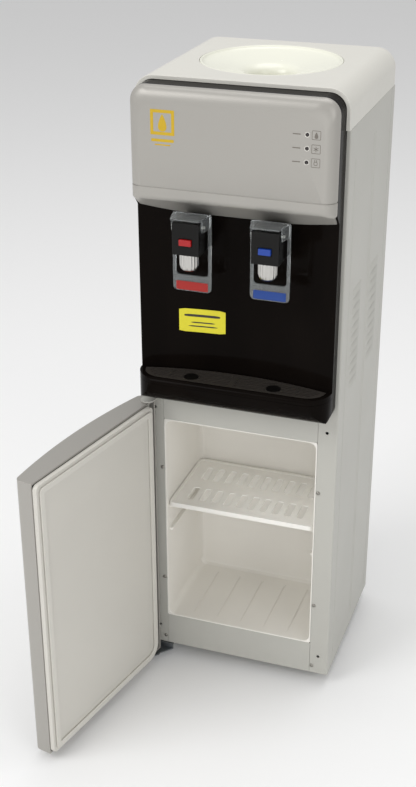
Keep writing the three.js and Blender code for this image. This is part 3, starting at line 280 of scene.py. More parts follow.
def loft(loops):
    """A capped skin over loops that all have the same number of points."""
    shape = bmesh.new()
    rings = [[shape.verts.new(point) for point in loop] for loop in loops]
    for low, high in zip(rings, rings[1:]):
        for i in range(len(low)):
            j = (i + 1) % len(low)
            shape.faces.new((low[i], low[j], high[j], high[i]))
    shape.faces.new(rings[0][::-1])
    shape.faces.new(rings[-1])
    return tidy(shape)


def prism(points, low, high, across):
    return loft([laid(points, low, across), laid(points, high, across)])


def block(x0, y0, z0, x1, y1, z1):
    return prism([(x0, y0), (x1, y0), (x1, y1), (x0, y1)], z0, z1, "z")


def turned(profile, x, y, z=0.0, steps=64, forward=False, flute=None):
    """A profile of radius and height turned about an upright axis, or about one that points to the front.

    flute(angle, height) is added to the radius.
    """
    shape = bmesh.new()
    rings = []
    for radius, height in profile:
        ring = []
        for step in range(steps if radius > 0 else 1):
            angle = 2 * math.pi * step / steps
            reach = radius + (flute(angle, height) if flute and radius > 0 else 0)
            a, b = reach * math.cos(angle), reach * math.sin(angle)
            ring.append(shape.verts.new((x + a, y - height, z + b) if forward else (x + a, y + b, z + height)))
        rings.append(ring)
    ringed = profile[0][0] > 0 and profile[-1][0] > 0
    for low, high in zip(rings, rings[1:] + rings[:1] if ringed else rings[1:]):
        for i in range(steps):
            j = (i + 1) % steps
            corners = [low[i % len(low)], low[j % len(low)], high[j % len(high)], high[i % len(high)]]
            distinct = list(dict.fromkeys(corners))
            if len(distinct) > 2:
                shape.faces.new(distinct)
    return tidy(shape)


def moved(shape, matrix):
    bmesh.ops.transform(shape, matrix=matrix, verts=shape.verts)
    return shape


def mirrored(shape):
    """The same shape on the other side of the cabinet."""
    bmesh.ops.scale(shape, vec=(-1, 1, 1), verts=shape.verts)
    bmesh.ops.reverse_faces(shape, faces=shape.faces)
    return shape


def taken(mesh):
    shape = bmesh.new()
    shape.from_mesh(mesh)
    bpy.data.meshes.remove(mesh)
    return shape


def gathered(*shapes):
    """Separate shapes in one bmesh."""
    whole = shapes[0]
    for shape in shapes[1:]:
        mesh = bpy.data.meshes.new("part")
        shape.to_mesh(mesh)
        whole.from_mesh(mesh)
        bpy.data.meshes.remove(mesh)
    return whole


def loose(shape):
    mesh = bpy.data.meshes.new("loose")
    shape.to_mesh(mesh)
    thing = bpy.data.objects.new("loose", mesh)
    bpy.context.scene.collection.objects.link(thing)
    return thing


def discard(thing):
    mesh = thing.data
    bpy.data.objects.remove(thing)
    bpy.data.meshes.remove(mesh)


def result_of(thing):
    """The evaluated mesh of an object with modifiers, on its own."""
    depsgraph = bpy.context.evaluated_depsgraph_get()
    return bpy.data.meshes.new_from_object(thing.evaluated_get(depsgraph))


def combined(shape, how, tools):
    for tool in tools:
        base, other = loose(shape), loose(tool)
        modifier = base.modifiers.new("combine", "BOOLEAN")
        modifier.operation = how
        modifier.solver = "EXACT"
        modifier.object = other
        shape = taken(result_of(base))
        discard(base)
        discard(other)
    return tidy(shape)


def joined(shape, *tools):
    return combined(shape, "UNION", tools)


def cut(shape, *tools):
    return combined(shape, "DIFFERENCE", tools)


def common(shape, *tools):
    return combined(shape, "INTERSECT", tools)


def piece(name, shape, material, body=DISPENSER, stands_for=(), edge=0.0, steps=2, corner=32):
    """A finished piece from a shape in millimetres: eased edges, smooth shading, its finish and its body.

    corner is the angle in degrees from which an edge is eased. Edges over 50 degrees stay crisp.
    """
    thing = loose(moved(shape, Matrix.Scale(MM, 4)))
    if edge:
        ease = thing.modifiers.new("edges", "BEVEL")
        ease.width = edge * MM
        ease.segments = steps
        ease.limit_method = "ANGLE"
        ease.angle_limit = math.radians(corner)
    eased = result_of(thing)
    discard(thing)
    eased.shade_smooth()
    eased.set_sharp_from_angle(angle=math.radians(50))
    thing = bpy.data.objects.new("loose", eased)
    bpy.context.scene.collection.objects.link(thing)
    even = thing.modifiers.new("even_normals", "WEIGHTED_NORMAL")
    even.keep_sharp = True
    mesh = result_of(thing)
    discard(thing)
    mesh.name = name
    mesh.materials.clear()
    mesh.materials.append(material)
    made = bpy.data.objects.new(name, mesh)
    bpy.context.scene.collection.objects.link(made)
    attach(made, body)
    if stands_for:
        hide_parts(*stands_for)
    return made


def capsule(x, y, z0, z1, radius):
    """An upright round-ended bar, pressed into a sheet to make a stiffening line."""
    arc = [(radius * math.cos(math.pi / 2 * step / 8), radius * math.sin(math.pi / 2 * step / 8))
           for step in range(8)]
    profile = [(0, z0 - radius)] + [(r, z0 - h) for r, h in reversed(arc)]
    return turned(profile + [(r, z1 + h) for r, h in arc] + [(0, z1 + radius)], x, y, 0, 24)


def folded_channel(outside, inside, back_inside, sheet):
    """Plan of a side panel, from the column's free edge round two folds to the flange at the back."""
    fold = 2.6
    outer, inner = [], []
    for centre_y, start in [(FRONT + fold, -math.pi / 2), (BACK - fold, 0.0)]:
        for step in range(7):
            angle = start + math.pi / 2 * step / 6
            for radius, line in ((fold, outer), (fold - sheet, inner)):
                line.append((outside - fold + radius * math.cos(angle), centre_y + radius * math.sin(angle)))
    outer = [(inside, FRONT)] + outer + [(back_inside, BACK)]
    inner = [(inside, FRONT + sheet)] + inner + [(back_inside, BACK - sheet)]
    return outer + inner[::-1]


LOUVRE_BANKS = ((54, 108), (165, 223))
LOUVRES_IN_BANK = 11
LOUVRE_PITCH = 15.0
LOUVRE_TOP = 657.0


def in_a_row(item, count, start, step, material):
    """Geometry Nodes: an item repeated along a line, as a shape."""
    tree = bpy.data.node_groups.new("row_of_items", "GeometryNodeTree")
    face = tree.interface
    inputs = {name: face.new_socket(name, in_out="INPUT", socket_type="NodeSocket" + kind).identifier
              for name, kind in (("Item", "Object"), ("Count", "Int"), ("Start", "Vector"), ("Step", "Vector"))}
    face.new_socket("Geometry", in_out="OUTPUT", socket_type="NodeSocketGeometry")
    given, out = tree.nodes.new("NodeGroupInput"), tree.nodes.new("NodeGroupOutput")
    line = tree.nodes.new("GeometryNodeMeshLine")
    fetch = tree.nodes.new("GeometryNodeObjectInfo")
    instances = tree.nodes.new("GeometryNodeInstanceOnPoints")
    realize = tree.nodes.new("GeometryNodeRealizeInstances")
    coat = tree.nodes.new("GeometryNodeSetMaterial")
    coat.inputs["Material"].default_value = material
    for source, target in (
            (given.outputs["Count"], line.inputs["Count"]),
            (given.outputs["Start"], line.inputs["Start Location"]),
            (given.outputs["Step"], line.inputs["Offset"]),
            (given.outputs["Item"], fetch.inputs["Object"]),
            (line.outputs["Mesh"], instances.inputs["Points"]),
            (fetch.outputs["Geometry"], instances.inputs["Instance"]),
            (instances.outputs["Instances"], realize.inputs["Geometry"]),
            (realize.outputs["Geometry"], coat.inputs["Geometry"]),
            (coat.outputs["Geometry"], out.inputs["Geometry"])):
        tree.links.new(source, target)
    pattern = loose(item)
    carrier = loose(bmesh.new())
    modifier = carrier.modifiers.new("row", "NODES")
    modifier.node_group = tree
    for name, value in (("Item", pattern), ("Count", count), ("Start", start), ("Step", step)):
        modifier[inputs[name]] = value
    shape = taken(result_of(carrier))
    discard(carrier)
    discard(pattern)
    bpy.data.node_groups.remove(tree)
    return shape


def louvre_hood(near, far):
    """One pressed hood: it stands out along its lower edge, dies away at its ends and is open below."""
    stand, tall, sheet = 2.8, 8.0, 0.8
    loops = []
    for step in range(17):
        along = step / 16
        rise = min(1.0, 3.4 * min(along, 1 - along)) ** 0.5
        reach = stand * rise
        section = [(-0.4, tall / 2), (0.1, tall / 2), (reach * 0.6, tall * 0.15), (reach, -tall / 2),
                   (reach - sheet * rise, -tall / 2), (-0.4, tall / 2 - 1.6)]
        loops.append([(CABINET_X1 + x, near + (far - near) * along, z) for x, z in section])
    return loft(loops)


def side_panel(hand):
    """hand is 1 for the right-hand panel and -1 for the left-hand one."""
    node = "side_panel_right" if hand > 0 else "side_panel_left"
    bottom, top = span(node)[2], span(node)[5]
    plan = folded_channel(CABINET_X1, CABINET_X1 - 30.5, CABINET_X1 - 14, 1.5)
    panel = prism(plan, bottom, top, "z")
    press, line = 0.9, 4.0
    tools = [capsule(CABINET_X1 + line - press, y, 30, z, line)
             for y, z in ((FRONT + 32.5, 862), (FRONT + 148, 870), (FRONT + 157, 870))]
    tools.append(block(CABINET_X1 - 0.8, BACK - 23.6, 0, CABINET_X1 + 1, BACK - 22.6, top + 1))
    for near, far in LOUVRE_BANKS:
        for index in range(LOUVRES_IN_BANK):
            z = LOUVRE_TOP - index * LOUVRE_PITCH - 1.8
            tools.append(prism(rounded(FRONT + near + 5, z - 2, FRONT + far - 5, z + 2, 1.9, 3),
                               CABINET_X1 - 4, CABINET_X1 + 2, "x"))
    for z in (450, 36):
        tools.append(turned([(0, -1), (2.5, -1), (2.5, 6), (0, 6)], CABINET_X1 - 16.7, FRONT + 4, z, 20, forward=True))
    panel = cut(panel, gathered(*tools))
    hoods = gathered(*[in_a_row(louvre_hood(FRONT + near, FRONT + far), LOUVRES_IN_BANK, (0, 0, LOUVRE_TOP),
                                (0, 0, -LOUVRE_PITCH), PANEL_COAT) for near, far in LOUVRE_BANKS])
    if hand < 0:
        mirrored(panel)
        mirrored(hoods)
    word = "right" if hand > 0 else "left"
    piece("cabinet_side_" + word, panel, PANEL_COAT, stands_for=[node], edge=0.25, steps=1)
    piece("louvre_hoods_" + word, hoods, PANEL_COAT)


side_panel(1)
side_panel(-1)

# ---- base pan, feet and back ----------------------------------------------------------------
# A pressed steel pan closes the bottom and carries the compressor. Four turned rubber feet are
# pushed into it, and a plain recessed sheet closes the back above the open cooling coil.


def coated(name, material):
    """A CAD node that keeps its own mesh and takes a finish."""
    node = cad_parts[name]
    if not node.data.materials:
        node.data.materials.append(material)
    for holder in node.material_slots:
        holder.material = material


coated("base_pan", PANEL_COAT)
coated("back_panel", PANEL_COAT)
coated("header_rail", PANEL_COAT)
coated("plinth_panel", PANEL_COAT)


def foot_rubber():
    rubber = Finish("foot_rubber", srgb(38, 38, 38), 0.8)
    scuff = rubber.noise(90, 5)
    rubber.shaded(-0.9, scuff * 0.5)
    rubber.set(roughness=0.7 + scuff * 0.2)
    rubber.bump(rubber.noise(900, 2), 0.3, 0.0008)
    return rubber.material


FOOT_RUBBER = foot_rubber()
for end in ("front", "rear"):
    for hand in ("left", "right"):
        node = f"foot_{end}_{hand}"
        x0, y0, z0, x1, y1, z1 = span(node)
        radius, middle = (x1 - x0) / 2, ((x0 + x1) / 2, (y0 + y1) / 2)
        tread = [(0, z0 + 1.2), (radius * 0.35, z0 + 1.2), (radius * 0.42, z0), (radius - 3, z0)]
        skirt = [(radius - 1.2, z0 + 0.8), (radius, z0 + 3), (radius - 0.6, z0 + 7), (radius - 2.4, z0 + 8.5),
                 (radius - 2.6, z1 - 3), (radius - 1.4, z1 - 1.6), (radius - 1.4, z1), (0, z1)]
        piece(f"rubber_foot_{end}_{hand}", turned(tread + skirt, *middle, steps=48), FOOT_RUBBER,
              stands_for=[node])

# ---- column screws --------------------------------------------------------------------------
# Pan-head steel screws with a cross slot fix each column to the storage liner, three a side.


def plated_metal(name, colour, roughness):
    """Rolled or plated metal with faint streaks along its height and small dull spots."""
    metal = Finish(name, colour, roughness, metallic=1.0)
    streak = metal.noise(1, 6, metal.stretched(700, 700, 12))
    spot = metal.noise(160, 4)
    metal.shaded(0.3, streak * 0.6 + spot * 0.4)
    metal.set(roughness=(roughness - 0.06) + streak * 0.2)
    metal.bump(streak, 0.08, 0.0003)
    return metal.material


ZINC_PLATE = plated_metal("zinc_plate", srgb(142, 146, 150), 0.38)
SCREW_STEEL = plated_metal("screw_steel", srgb(175, 172, 165), 0.3)


def pan_head(radius, height):
    """A screw head facing forward, with a cross slot, centred on the origin."""
    dome = [(0, height), (radius * 0.45, height * 0.97), (radius * 0.8, height * 0.7), (radius, height * 0.25),
            (radius, -0.6), (0, -0.6)]
    head = turned(dome, 0, 0, 0, 20, forward=True)
    arm, half = radius * 0.6, radius * 0.13
    slots = [block(-arm, -height - 1, -half, arm, -height * 0.45, half),
             block(-half, -height - 1, -arm, half, -height * 0.45, arm)]
    return cut(head, *slots)


def column_screws():
    heads = []
    for hand in ("left", "right"):
        boxes = [span(f"column_screw_{hand}_{number}") for number in (1, 2, 3)]
        x = (boxes[0][0] + boxes[0][3]) / 2
        heights = [(box[2] + box[5]) / 2 for box in boxes]
        radius = (boxes[0][3] - boxes[0][0]) / 2
        for z in heights:
            heads.append(in_a_row(pan_head(radius, FRONT - boxes[0][1]), 1, (x, FRONT, z), (0, 0, 0), SCREW_STEEL))
    nodes = [f"column_screw_{hand}_{number}" for hand in ("left", "right") for number in (1, 2, 3)]
    piece("column_screw_heads", gathered(*heads), SCREW_STEEL, stands_for=nodes)


column_screws()

# ---- storage liner --------------------------------------------------------------------------
# One vacuum-formed tub in off-white plastic: soft inside corners, a rolled front rim, two
# pairs of shelf rails and shallow drainage grooves along its floor.


def moulded(name, colour, roughness, grain=1100, depth=0.12, cloud=0.06, **fixed):
    """Moulded plastic: a fine grain from the tool, a slight cloudiness and handling marks in its gloss."""
    plastic = Finish(name, colour, roughness, **fixed)
    patch = plastic.noise(9, 4)
    rub = plastic.noise(60, 6)
    plastic.shaded(cloud, patch)
    plastic.set(roughness=(roughness - 0.05) + rub * 0.12)
    if depth:
        plastic.bump(plastic.noise(grain, 2), depth, 0.0005)
    return plastic.material


LINER_PLASTIC = moulded("liner_plastic", srgb(240, 237, 230), 0.5, cloud=0.07)
TUB = span("storage_tub")


def storage_liner():
    x0, y0, z0, x1, y1, z1 = TUB
    wall, floor_radius = 2.0, 11.0
    outside = prism(rounded(x0, z0, x1, z1, 3), y0, y1, "y")
    loops = []
    for depth, roll in ((-0.5, -0.4), (0, -0.3), (1.0, 0.2), (2.4, 0.0), (60, 0.0), (140, 0.2), (158, 1.2),
                        (163, 4.5), (165, 11.0)):
        inset = wall + roll
        loops.append(laid(rounded(x0 + inset, z0 + inset, x1 - inset, z1 - inset, floor_radius), y0 + depth, "y"))
    liner = cut(outside, loft(loops))
    grooves = [prism(rounded(x - 1.6, y0 + 17, x + 1.6, y0 + 142, 1.5, 4), z0 + wall - 0.9, z0 + wall + 3, "z")
               for x in (-82, -41, 0, 41, 82)]
    liner = cut(liner, gathered(*grooves))
    shelf_under = span("storage_shelf")[2]
    rails = []
    for side in (-1, 1):
        for top in (shelf_under - 0.4, 226):
            outer = side * (x1 - wall / 2)
            inner = side * (x1 - wall - 6)
            low, high = min(outer, inner), max(outer, inner)
            rails.append(prism(rounded(low, y0 + 10, high, y0 + 160, 2.6, 5), top - 4, top, "z"))
    return joined(liner, gathered(*rails))


piece("storage_liner", storage_liner(), LINER_PLASTIC, stands_for=["storage_tub"], edge=0.5)

# ---- shelf ----------------------------------------------------------------------------------
# A loose injection-moulded tray turned lip down, with two rows of drainage slots. It slides on
# the liner's upper rails.

SHELF_PLASTIC = moulded("shelf_plastic", srgb(246, 244, 238), 0.42, grain=1400, depth=0.08)


def wire_shelf_slots(near, far, deck_top):
    slot = prism(rounded(-5.25, near, 5.25, far, 4.2, 6), deck_top - 7, deck_top + 3, "z")
    return in_a_row(slot, 10, (-4.5 * 20.5, 0, 0), (20.5, 0, 0), SHELF_PLASTIC)


def storage_shelf():
    x0, y0, z0, x1, y1, z1 = span("storage_shelf")
    deck = 3.0
    shelf = prism(rounded(x0, y0, x1, y1, 9), z0, z1, "z")
    under = prism(rounded(x0 + deck, y0 + deck, x1 - deck, y1 - deck, 6.5), z0 - 1, z1 - deck, "z")
    well = prism(rounded(x0 + 5.5, y0 + 5.5, x1 - 5.5, y1 - 5.5, 5), z1 - 1.1, z1 + 2, "z")
    slots = gathered(wire_shelf_slots(FRONT + 26, FRONT + 66, z1), wire_shelf_slots(FRONT + 93, FRONT + 135, z1))
    return cut(shelf, under, well, slots)


piece("shelf_tray", storage_shelf(), SHELF_PLASTIC, stands_for=["storage_shelf"], edge=0.6)

# ---- black front moulding -------------------------------------------------------------------
# High-gloss black moulding in one tool: a surround that stands off the cabinet, a hollow
# curved wall behind the taps and a rounded bowl below that holds the drip tray.

FRAME_HALF = 149.0
FRAME_FOOT, FRAME_TOP = span("front_frame")[2], span("front_frame")[5]
FRAME_DEPTH = 37.0
MOULDED_WALL = 2.5
NICHE_EDGE = 23.0
NICHE_RADIUS = (FRAME_HALF ** 2 + 19.8 ** 2) / (2 * 19.8)
NICHE_AXIS = FRONT - 3.2 - NICHE_RADIUS
BOWL_FRONT = 62.0
BOWL_CORNER = 38.0
TRAY_SEAM = 521.0
CHIN_FOOT = 776.0


def gloss_black():
    """Polished black acrylic-faced plastic with wipe marks and fine dust, and a painted brown reflection in long
    streaks of its colour.
    """
    gloss = Finish("gloss_black", srgb(9, 7, 6), 0.1, specular_ior_level=0.08, ior=1.25)
    wipe_and_reflection = gloss.noise(1, 5, gloss.stretched(14, 14, 4))
    dust_and_low_fade = gloss.noise(900, 3) > 0.72
    # The long streaks blend a little brown into the colour: a painted reflection. They also vary the gloss as wipe
    # marks. The fine specks are dust.
    gloss.set(base_color=gloss.blend(dust_and_low_fade * 0.25 + wipe_and_reflection * 0.08, gloss.colour, (*srgb(70, 58, 50), 1)))
    gloss.set(roughness=0.05 + wipe_and_reflection * 0.12)
    gloss.bump(gloss.noise(18, 2), 0.05, 0.002)
    return gloss.material


GLOSS_BLACK = gloss_black()


def surround(inset, steps=10):
    top, foot = 23 - inset, 16 - inset
    return rounded(-FRAME_HALF + inset, FRAME_FOOT + inset, FRAME_HALF - inset, FRAME_TOP - inset,
                   (foot, foot, top, top), steps)


def niche_y(x, behind=0.0):
    """Where the curved wall's face is at x, or a surface that lies a given distance behind it."""
    return NICHE_AXIS + math.sqrt((NICHE_RADIUS + behind) ** 2 - x * x)


def niche_plan(inset, front, half, steps=40):
    """Plan between the curved wall and a line a given distance in front of the cabinet."""
    points = [(half - 2 * half * i / steps, niche_y(half - 2 * half * i / steps, -inset)) for i in range(steps + 1)]
    return points + [(-half, FRONT - front), (half, FRONT - front)]


def side_on(profile, x0, x1):
    """A profile of distance in front of the cabinet and height, run across."""
    return prism([(FRONT - forward, z) for forward, z in profile], x0, x1, "x")


def curve(start, control, end, steps=10):
    return [tuple((1 - t) ** 2 * a + 2 * t * (1 - t) * b + t * t * c for a, b, c in zip(start, control, end))
            for t in (i / steps for i in range(steps + 1))]


def tray_room(inset, front_inset, side_inset, low, high):
    """The room between the curved wall and the bowl's rounded front."""
    half, front, corner = FRAME_HALF - side_inset, BOWL_FRONT - front_inset, BOWL_CORNER - front_inset
    behind = prism(niche_plan(inset, BOWL_FRONT + 5, half), low, high, "z")
    return common(behind, prism(rounded(-half, FRONT - front, half, FRONT + 5, (corner, corner, 0, 0), 12),
                                low - 1, high + 1, "z"))


def bowl(inset, top):
    """The bowl's outline: inset gives its inside and the tray's own walls."""
    profile = [(-5, FRAME_FOOT + inset)]
    profile += curve((20 - inset, FRAME_FOOT + inset), (BOWL_FRONT - 5 - inset, FRAME_FOOT + 4 + inset),
                     (BOWL_FRONT - inset, TRAY_SEAM))
    if top > TRAY_SEAM:
        profile.append((BOWL_FRONT - inset, top))
    profile.append((-5, top))
    return common(side_on(profile, -160, 160), tray_room(inset, inset, inset, FRAME_FOOT - 1, top + 1),
                  prism(surround(inset), FRONT - 90, FRONT + 3, "y"))


def shank_holes():
    return gathered(*[turned([(0, -30), (8.4, -30), (8.4, 60), (0, 60)], x, FRONT, 760, 40, forward=True)
                      for x in (-58, 58)])


def front_moulding():
    ring = cut(prism(surround(0), FRONT - FRAME_DEPTH, FRONT - 0.4, "y"),
               prism(surround(MOULDED_WALL), FRONT - FRAME_DEPTH - 1, FRONT + 1, "y"))
    side = [(0, FRAME_FOOT - 1), (NICHE_EDGE - 1, FRAME_FOOT - 1), (NICHE_EDGE - 1, 785), (FRAME_DEPTH + 1, 803),
            (FRAME_DEPTH + 1, FRAME_TOP + 1), (0, FRAME_TOP + 1)]
    ring = common(ring, side_on(side, -160, 160))
    piece("front_surround", ring, GLOSS_BLACK, stands_for=["front_frame"], edge=0.8)
    half = FRAME_HALF - 0.05
    wall = cut(prism(niche_plan(-MOULDED_WALL, NICHE_EDGE - 0.3, half), FRAME_FOOT, CHIN_FOOT + 24, "z"),
               prism(niche_plan(0, NICHE_EDGE + 5, half + 5), FRAME_FOOT - 1, CHIN_FOOT + 25, "z"))
    wall = cut(common(wall, prism(surround(0.05), FRONT - 60, FRONT + 4, "y")), shank_holes())
    piece("curved_back_wall", wall, GLOSS_BLACK, edge=0.6)
    shell = cut(bowl(0.03, TRAY_SEAM), bowl(MOULDED_WALL, TRAY_SEAM + 1))
    piece("tray_bowl", shell, GLOSS_BLACK, edge=0.7)


front_moulding()


def wall_patch(x0, x1, z0, z1, lift, thick, radius=1.5):
    """A thin slip stuck to the curved wall."""
    loops = []
    for step in range(9):
        x = x0 + (x1 - x0) * step / 8
        trim = radius * (1 - math.sqrt(max(0.0, 1 - (1 - min(1, min(x - x0, x1 - x) / radius)) ** 2)))
        face = niche_y(x) - lift
        loops.append([(x, face, z0 + trim), (x, face - thick, z0 + trim), (x, face - thick, z1 - trim),
                      (x, face, z1 - trim)])
    return loft(loops)


def notice_paper():
    """Printed vinyl: satin, with a faint mottle in the ink."""
    paper = Finish("yellow_vinyl", srgb(225, 215, 40), 0.45)
    paper.shaded(0.12, paper.noise(240, 4))
    paper.set(roughness=0.38 + paper.noise(50, 3) * 0.15)
    return paper.material


def ink(name, colour, metallic=0.0):
    """Screen-printed ink, slightly uneven at the scale of the mesh it was pressed through."""
    print_ink = Finish(name, colour, 0.5, metallic=metallic)
    screen = print_ink.noise(1400, 2)
    print_ink.shaded(0.2, screen)
    print_ink.set(roughness=0.42 + screen * 0.2)
    return print_ink.material


DARK_INK = ink("dark_ink", srgb(52, 46, 40))
piece("care_notice", wall_patch(-92, -21.5, 590, 627, 0.05, 0.2), notice_paper())
bars = [wall_patch(-84, -30, 614.5, 618.5, 0.25, 0.08, 0.6), wall_patch(-74, -38, 604.5, 606.5, 0.25, 0.08, 0.6),
        wall_patch(-78, -34, 598.5, 600.5, 0.25, 0.08, 0.6)]
piece("care_notice_print", gathered(*bars), DARK_INK)

# ---- drip tray and grille -------------------------------------------------------------------
# A lift-out black tray: a rounded shoulder rests on the bowl and a basin hangs inside it. Its
# loose grille has narrow slats, a stiffening rib up the middle and two solid cup pads.

SATIN_BLACK = moulded("satin_black", srgb(13, 12, 11), 0.36, grain=900, depth=0.1, specular_ior_level=0.2)
TRAY_TOP = span("drip_tray")[5]


def drip_tray():
    shoulder = [(0, TRAY_SEAM + 0.4), (BOWL_FRONT, TRAY_SEAM + 0.4)]
    shoulder += curve((BOWL_FRONT, TRAY_SEAM + 2), (BOWL_FRONT - 0.5, TRAY_TOP - 3), (BOWL_FRONT - 5, TRAY_TOP))
    shoulder.append((0, TRAY_TOP))
    rim = common(side_on(shoulder, -160, 160),
                 tray_room(0.4, 0, 0, TRAY_SEAM, TRAY_TOP + 1))
    basin = bowl(MOULDED_WALL + 0.8, TRAY_SEAM + 2)
    hollow = tray_room(8, 11, 11, TRAY_SEAM - 4, TRAY_TOP + 1)
    rebate = tray_room(5, 8, 8, TRAY_TOP - 2.6, TRAY_TOP + 1)
    return cut(joined(rim, basin), bowl(MOULDED_WALL + 2.8, TRAY_SEAM + 2.01), hollow, rebate)


def drip_grille():
    top, foot = TRAY_TOP, TRAY_TOP - 2.3
    plate = tray_room(5.4, 8.4, 8.4, foot, top)
    field = tray_room(10.4, 12.4, 16.4, foot - 8, top + 8)
    slot = prism(rounded(-160, -1.6, 160, 1.6, 0.6, 3), foot - 6, top + 6, "z")
    slots = in_a_row(slot, 8, (0, FRONT - 13.6, 0), (0, -5.2, 0), SATIN_BLACK)
    slots = common(slots, field)
    keep = [block(-4, FRONT - 70, foot - 9, 4, FRONT, top + 9)]
    keep += [turned([(0, foot - 9), (12, foot - 9), (12, top + 9), (0, top + 9)], x, FRONT - 38, 0, 48)
             for x in (-64, 64)]
    keep += [block(x - 1.3, FRONT - 70, foot - 9, x + 1.3, FRONT, top + 9) for x in (-98, 98)]
    slots = cut(slots, *keep)
    pads = [turned([(0, top - 1), (11, top - 1), (11, top + 0.5), (10.2, top + 0.8), (9.2, top + 0.8),
                    (8.6, top + 0.3), (0, top + 0.2)], x, FRONT - 38, 0, 48) for x in (-64, 64)]
    return cut(plate, slots), gathered(*pads)


piece("drip_tray_moulding", drip_tray(), GLOSS_BLACK, body="drip_tray", stands_for=["drip_tray"],
      edge=0.7)
grille, cup_pads = drip_grille()
GRILLE_GREY = moulded("grille_plastic", srgb(58, 54, 50), 0.3, grain=900, depth=0.1, specular_ior_level=0.5)
piece("grille_slats", grille, GRILLE_GREY, body="drip_grille", stands_for=["drip_grille"], edge=0.4)
piece("grille_cup_pads", cup_pads, SATIN_BLACK, body="drip_grille")

# ---- display panel --------------------------------------------------------------------------
# Silver-lacquered moulding clipped in the surround: crowned top edge, rounded ends, a parting
# groove above its chin, and a sloping plate that closes the space behind the chin.


def silver_lacquer():
    """Grey plastic sprayed with silver lacquer: very fine flake under a satin coat."""
    lacquer = Finish("silver_lacquer", srgb(169, 166, 160), 0.36, metallic=0.25, specular_ior_level=0.5)
    flake = lacquer.noise(2600, 2)
    cloud = lacquer.noise(5, 3)
    lacquer.shaded(0.1, flake * 0.7 + cloud * 0.3)
    lacquer.set(roughness=0.3 + flake * 0.1 + cloud * 0.04)
    lacquer.bump(flake, 0.05, 0.0002)
    return lacquer.material


SILVER_LACQUER = silver_lacquer()
PANEL_FACE = 54.0
PANEL_HEEL = 800.0


def panel_loops(inset):
    """Loops from the panel's back edge to its face, rolling in at the top, the ends and the chin."""
    loops = []
    back = FRAME_DEPTH + (0.4 if not inset else -2)
    for step in range(15):
        turn = math.pi / 2 * step / 14
        along = math.sin(turn)
        forward = back + (PANEL_FACE - inset - back) * along
        roll = 1 - (1 - along ** 2.3) ** (1 / 2.3) if along < 1 else 1.0
        ends = 18 * (1 - math.sqrt(max(0.0, 1 - (max(0.0, forward + inset - 36) / 18) ** 2)))
        half = FRAME_HALF - inset - ends
        top = FRAME_TOP - inset - 26 * roll
        foot = PANEL_HEEL + inset + 13 * roll
        loops.append(laid(rounded(-half, foot, half, top, (5 + 6 * roll, 5 + 6 * roll, 23 - inset, 23 - inset), 10),
                          FRONT - forward, "y"))
    return loops


def display_panel():
    body = cut(loft(panel_loops(0)), loft(panel_loops(MOULDED_WALL)))
    groove = cut(block(-160, FRONT - 80, 822.2, 160, FRONT, 823.8), loft(panel_loops(0.9)))
    lens_holes = [turned([(0, 30), (2.8, 30), (2.8, 80), (0, 80)], 108, FRONT, 916 - 18.7 * i, 32, forward=True)
                  for i in range(3)]
    return cut(body, groove, gathered(*lens_holes))


def chin_plate():
    half = FRAME_HALF - MOULDED_WALL - 0.4
    front = FRAME_DEPTH + 2.4
    slope = [(front, PANEL_HEEL), (10, CHIN_FOOT), (10, CHIN_FOOT + MOULDED_WALL),
             (front, PANEL_HEEL + MOULDED_WALL)]
    return common(side_on(slope, -half, half), prism(niche_plan(0.4, PANEL_FACE, half), 700, 900, "z"),
                  prism(rounded(-half, CHIN_FOOT - 1, half, 900, (17, 17, 0, 0), 10), FRONT - 54, FRONT, "y"))


piece("display_moulding", display_panel(), SILVER_LACQUER, stands_for=["display_panel"],
      edge=0.35, steps=2, corner=40)
piece("display_chin", chin_plate(), SILVER_LACQUER, edge=0.5)

# ---- indicators, symbols and badge ----------------------------------------------------------
# Three dark lamp lenses in pale bezels, each beside a printed square symbol: a flame, a
# snowflake and a plug. The badge is a plain gold droplet in a square, printed on the panel.


def lens_plastic():
    """Smoked acrylic lens: dark, glossy, with a paler core where the lamp sits."""
    smoked = Finish("smoked_lens", srgb(20, 16, 16), 0.08, specular_ior_level=0.6)
    core = smoked.noise(400, 2)
    smoked.set(base_color=smoked.blend(core * 0.3, smoked.colour, (*srgb(70, 50, 50), 1)),
               roughness=0.06 + core * 0.05)
    return smoked.material


SMOKED_LENS = lens_plastic()
BEZEL_PLASTIC = moulded("lamp_bezel", srgb(226, 224, 216), 0.35, grain=1400, depth=0.05)
for index, use in enumerate(("heating", "cooling", "power")):
    z = 916 - 18.7 * index
    dome = [(0, PANEL_FACE - 8), (2.4, PANEL_FACE - 8), (2.4, PANEL_FACE), (2.0, PANEL_FACE + 0.5),
            (1.1, PANEL_FACE + 0.8), (0, PANEL_FACE + 0.9)]
    piece(f"{use}_lamp", turned(dome, 108, FRONT, z, 32, forward=True), SMOKED_LENS,
          stands_for=[f"{use}_indicator_lens"])
rings = [turned([(2.6, PANEL_FACE - 0.3), (3.7, PANEL_FACE - 0.3), (3.6, PANEL_FACE + 0.3), (2.9, PANEL_FACE + 0.5)],
                108, FRONT, 916 - 18.7 * i, 32, forward=True) for i in range(3)]
piece("lamp_bezels", gathered(*rings), BEZEL_PLASTIC)


def printed(points, lift=0.0):
    """A flat printed shape on the panel's face."""
    return prism(points, FRONT - PANEL_FACE - 0.14 - lift, FRONT - PANEL_FACE + 0.1, "y")


def square_line(x, z, size, line, radius):
    outer = printed(rounded(x, z, x + size, z + size, radius, 4))
    inner = prism(rounded(x + line, z + line, x + size - line, z + size - line, max(0.1, radius - line), 4),
                  FRONT - PANEL_FACE - 1, FRONT - PANEL_FACE + 1, "y")
    return cut(outer, inner)


def stroke(x0, z0, x1, z1, width):
    """A printed straight line with square ends."""
    along = Vector((x1 - x0, z1 - z0)).normalized()
    side = Vector((-along.y, along.x)) * width / 2
    a, b = Vector((x0, z0)), Vector((x1, z1))
    return printed([tuple(a - side), tuple(b - side), tuple(b + side), tuple(a + side)])


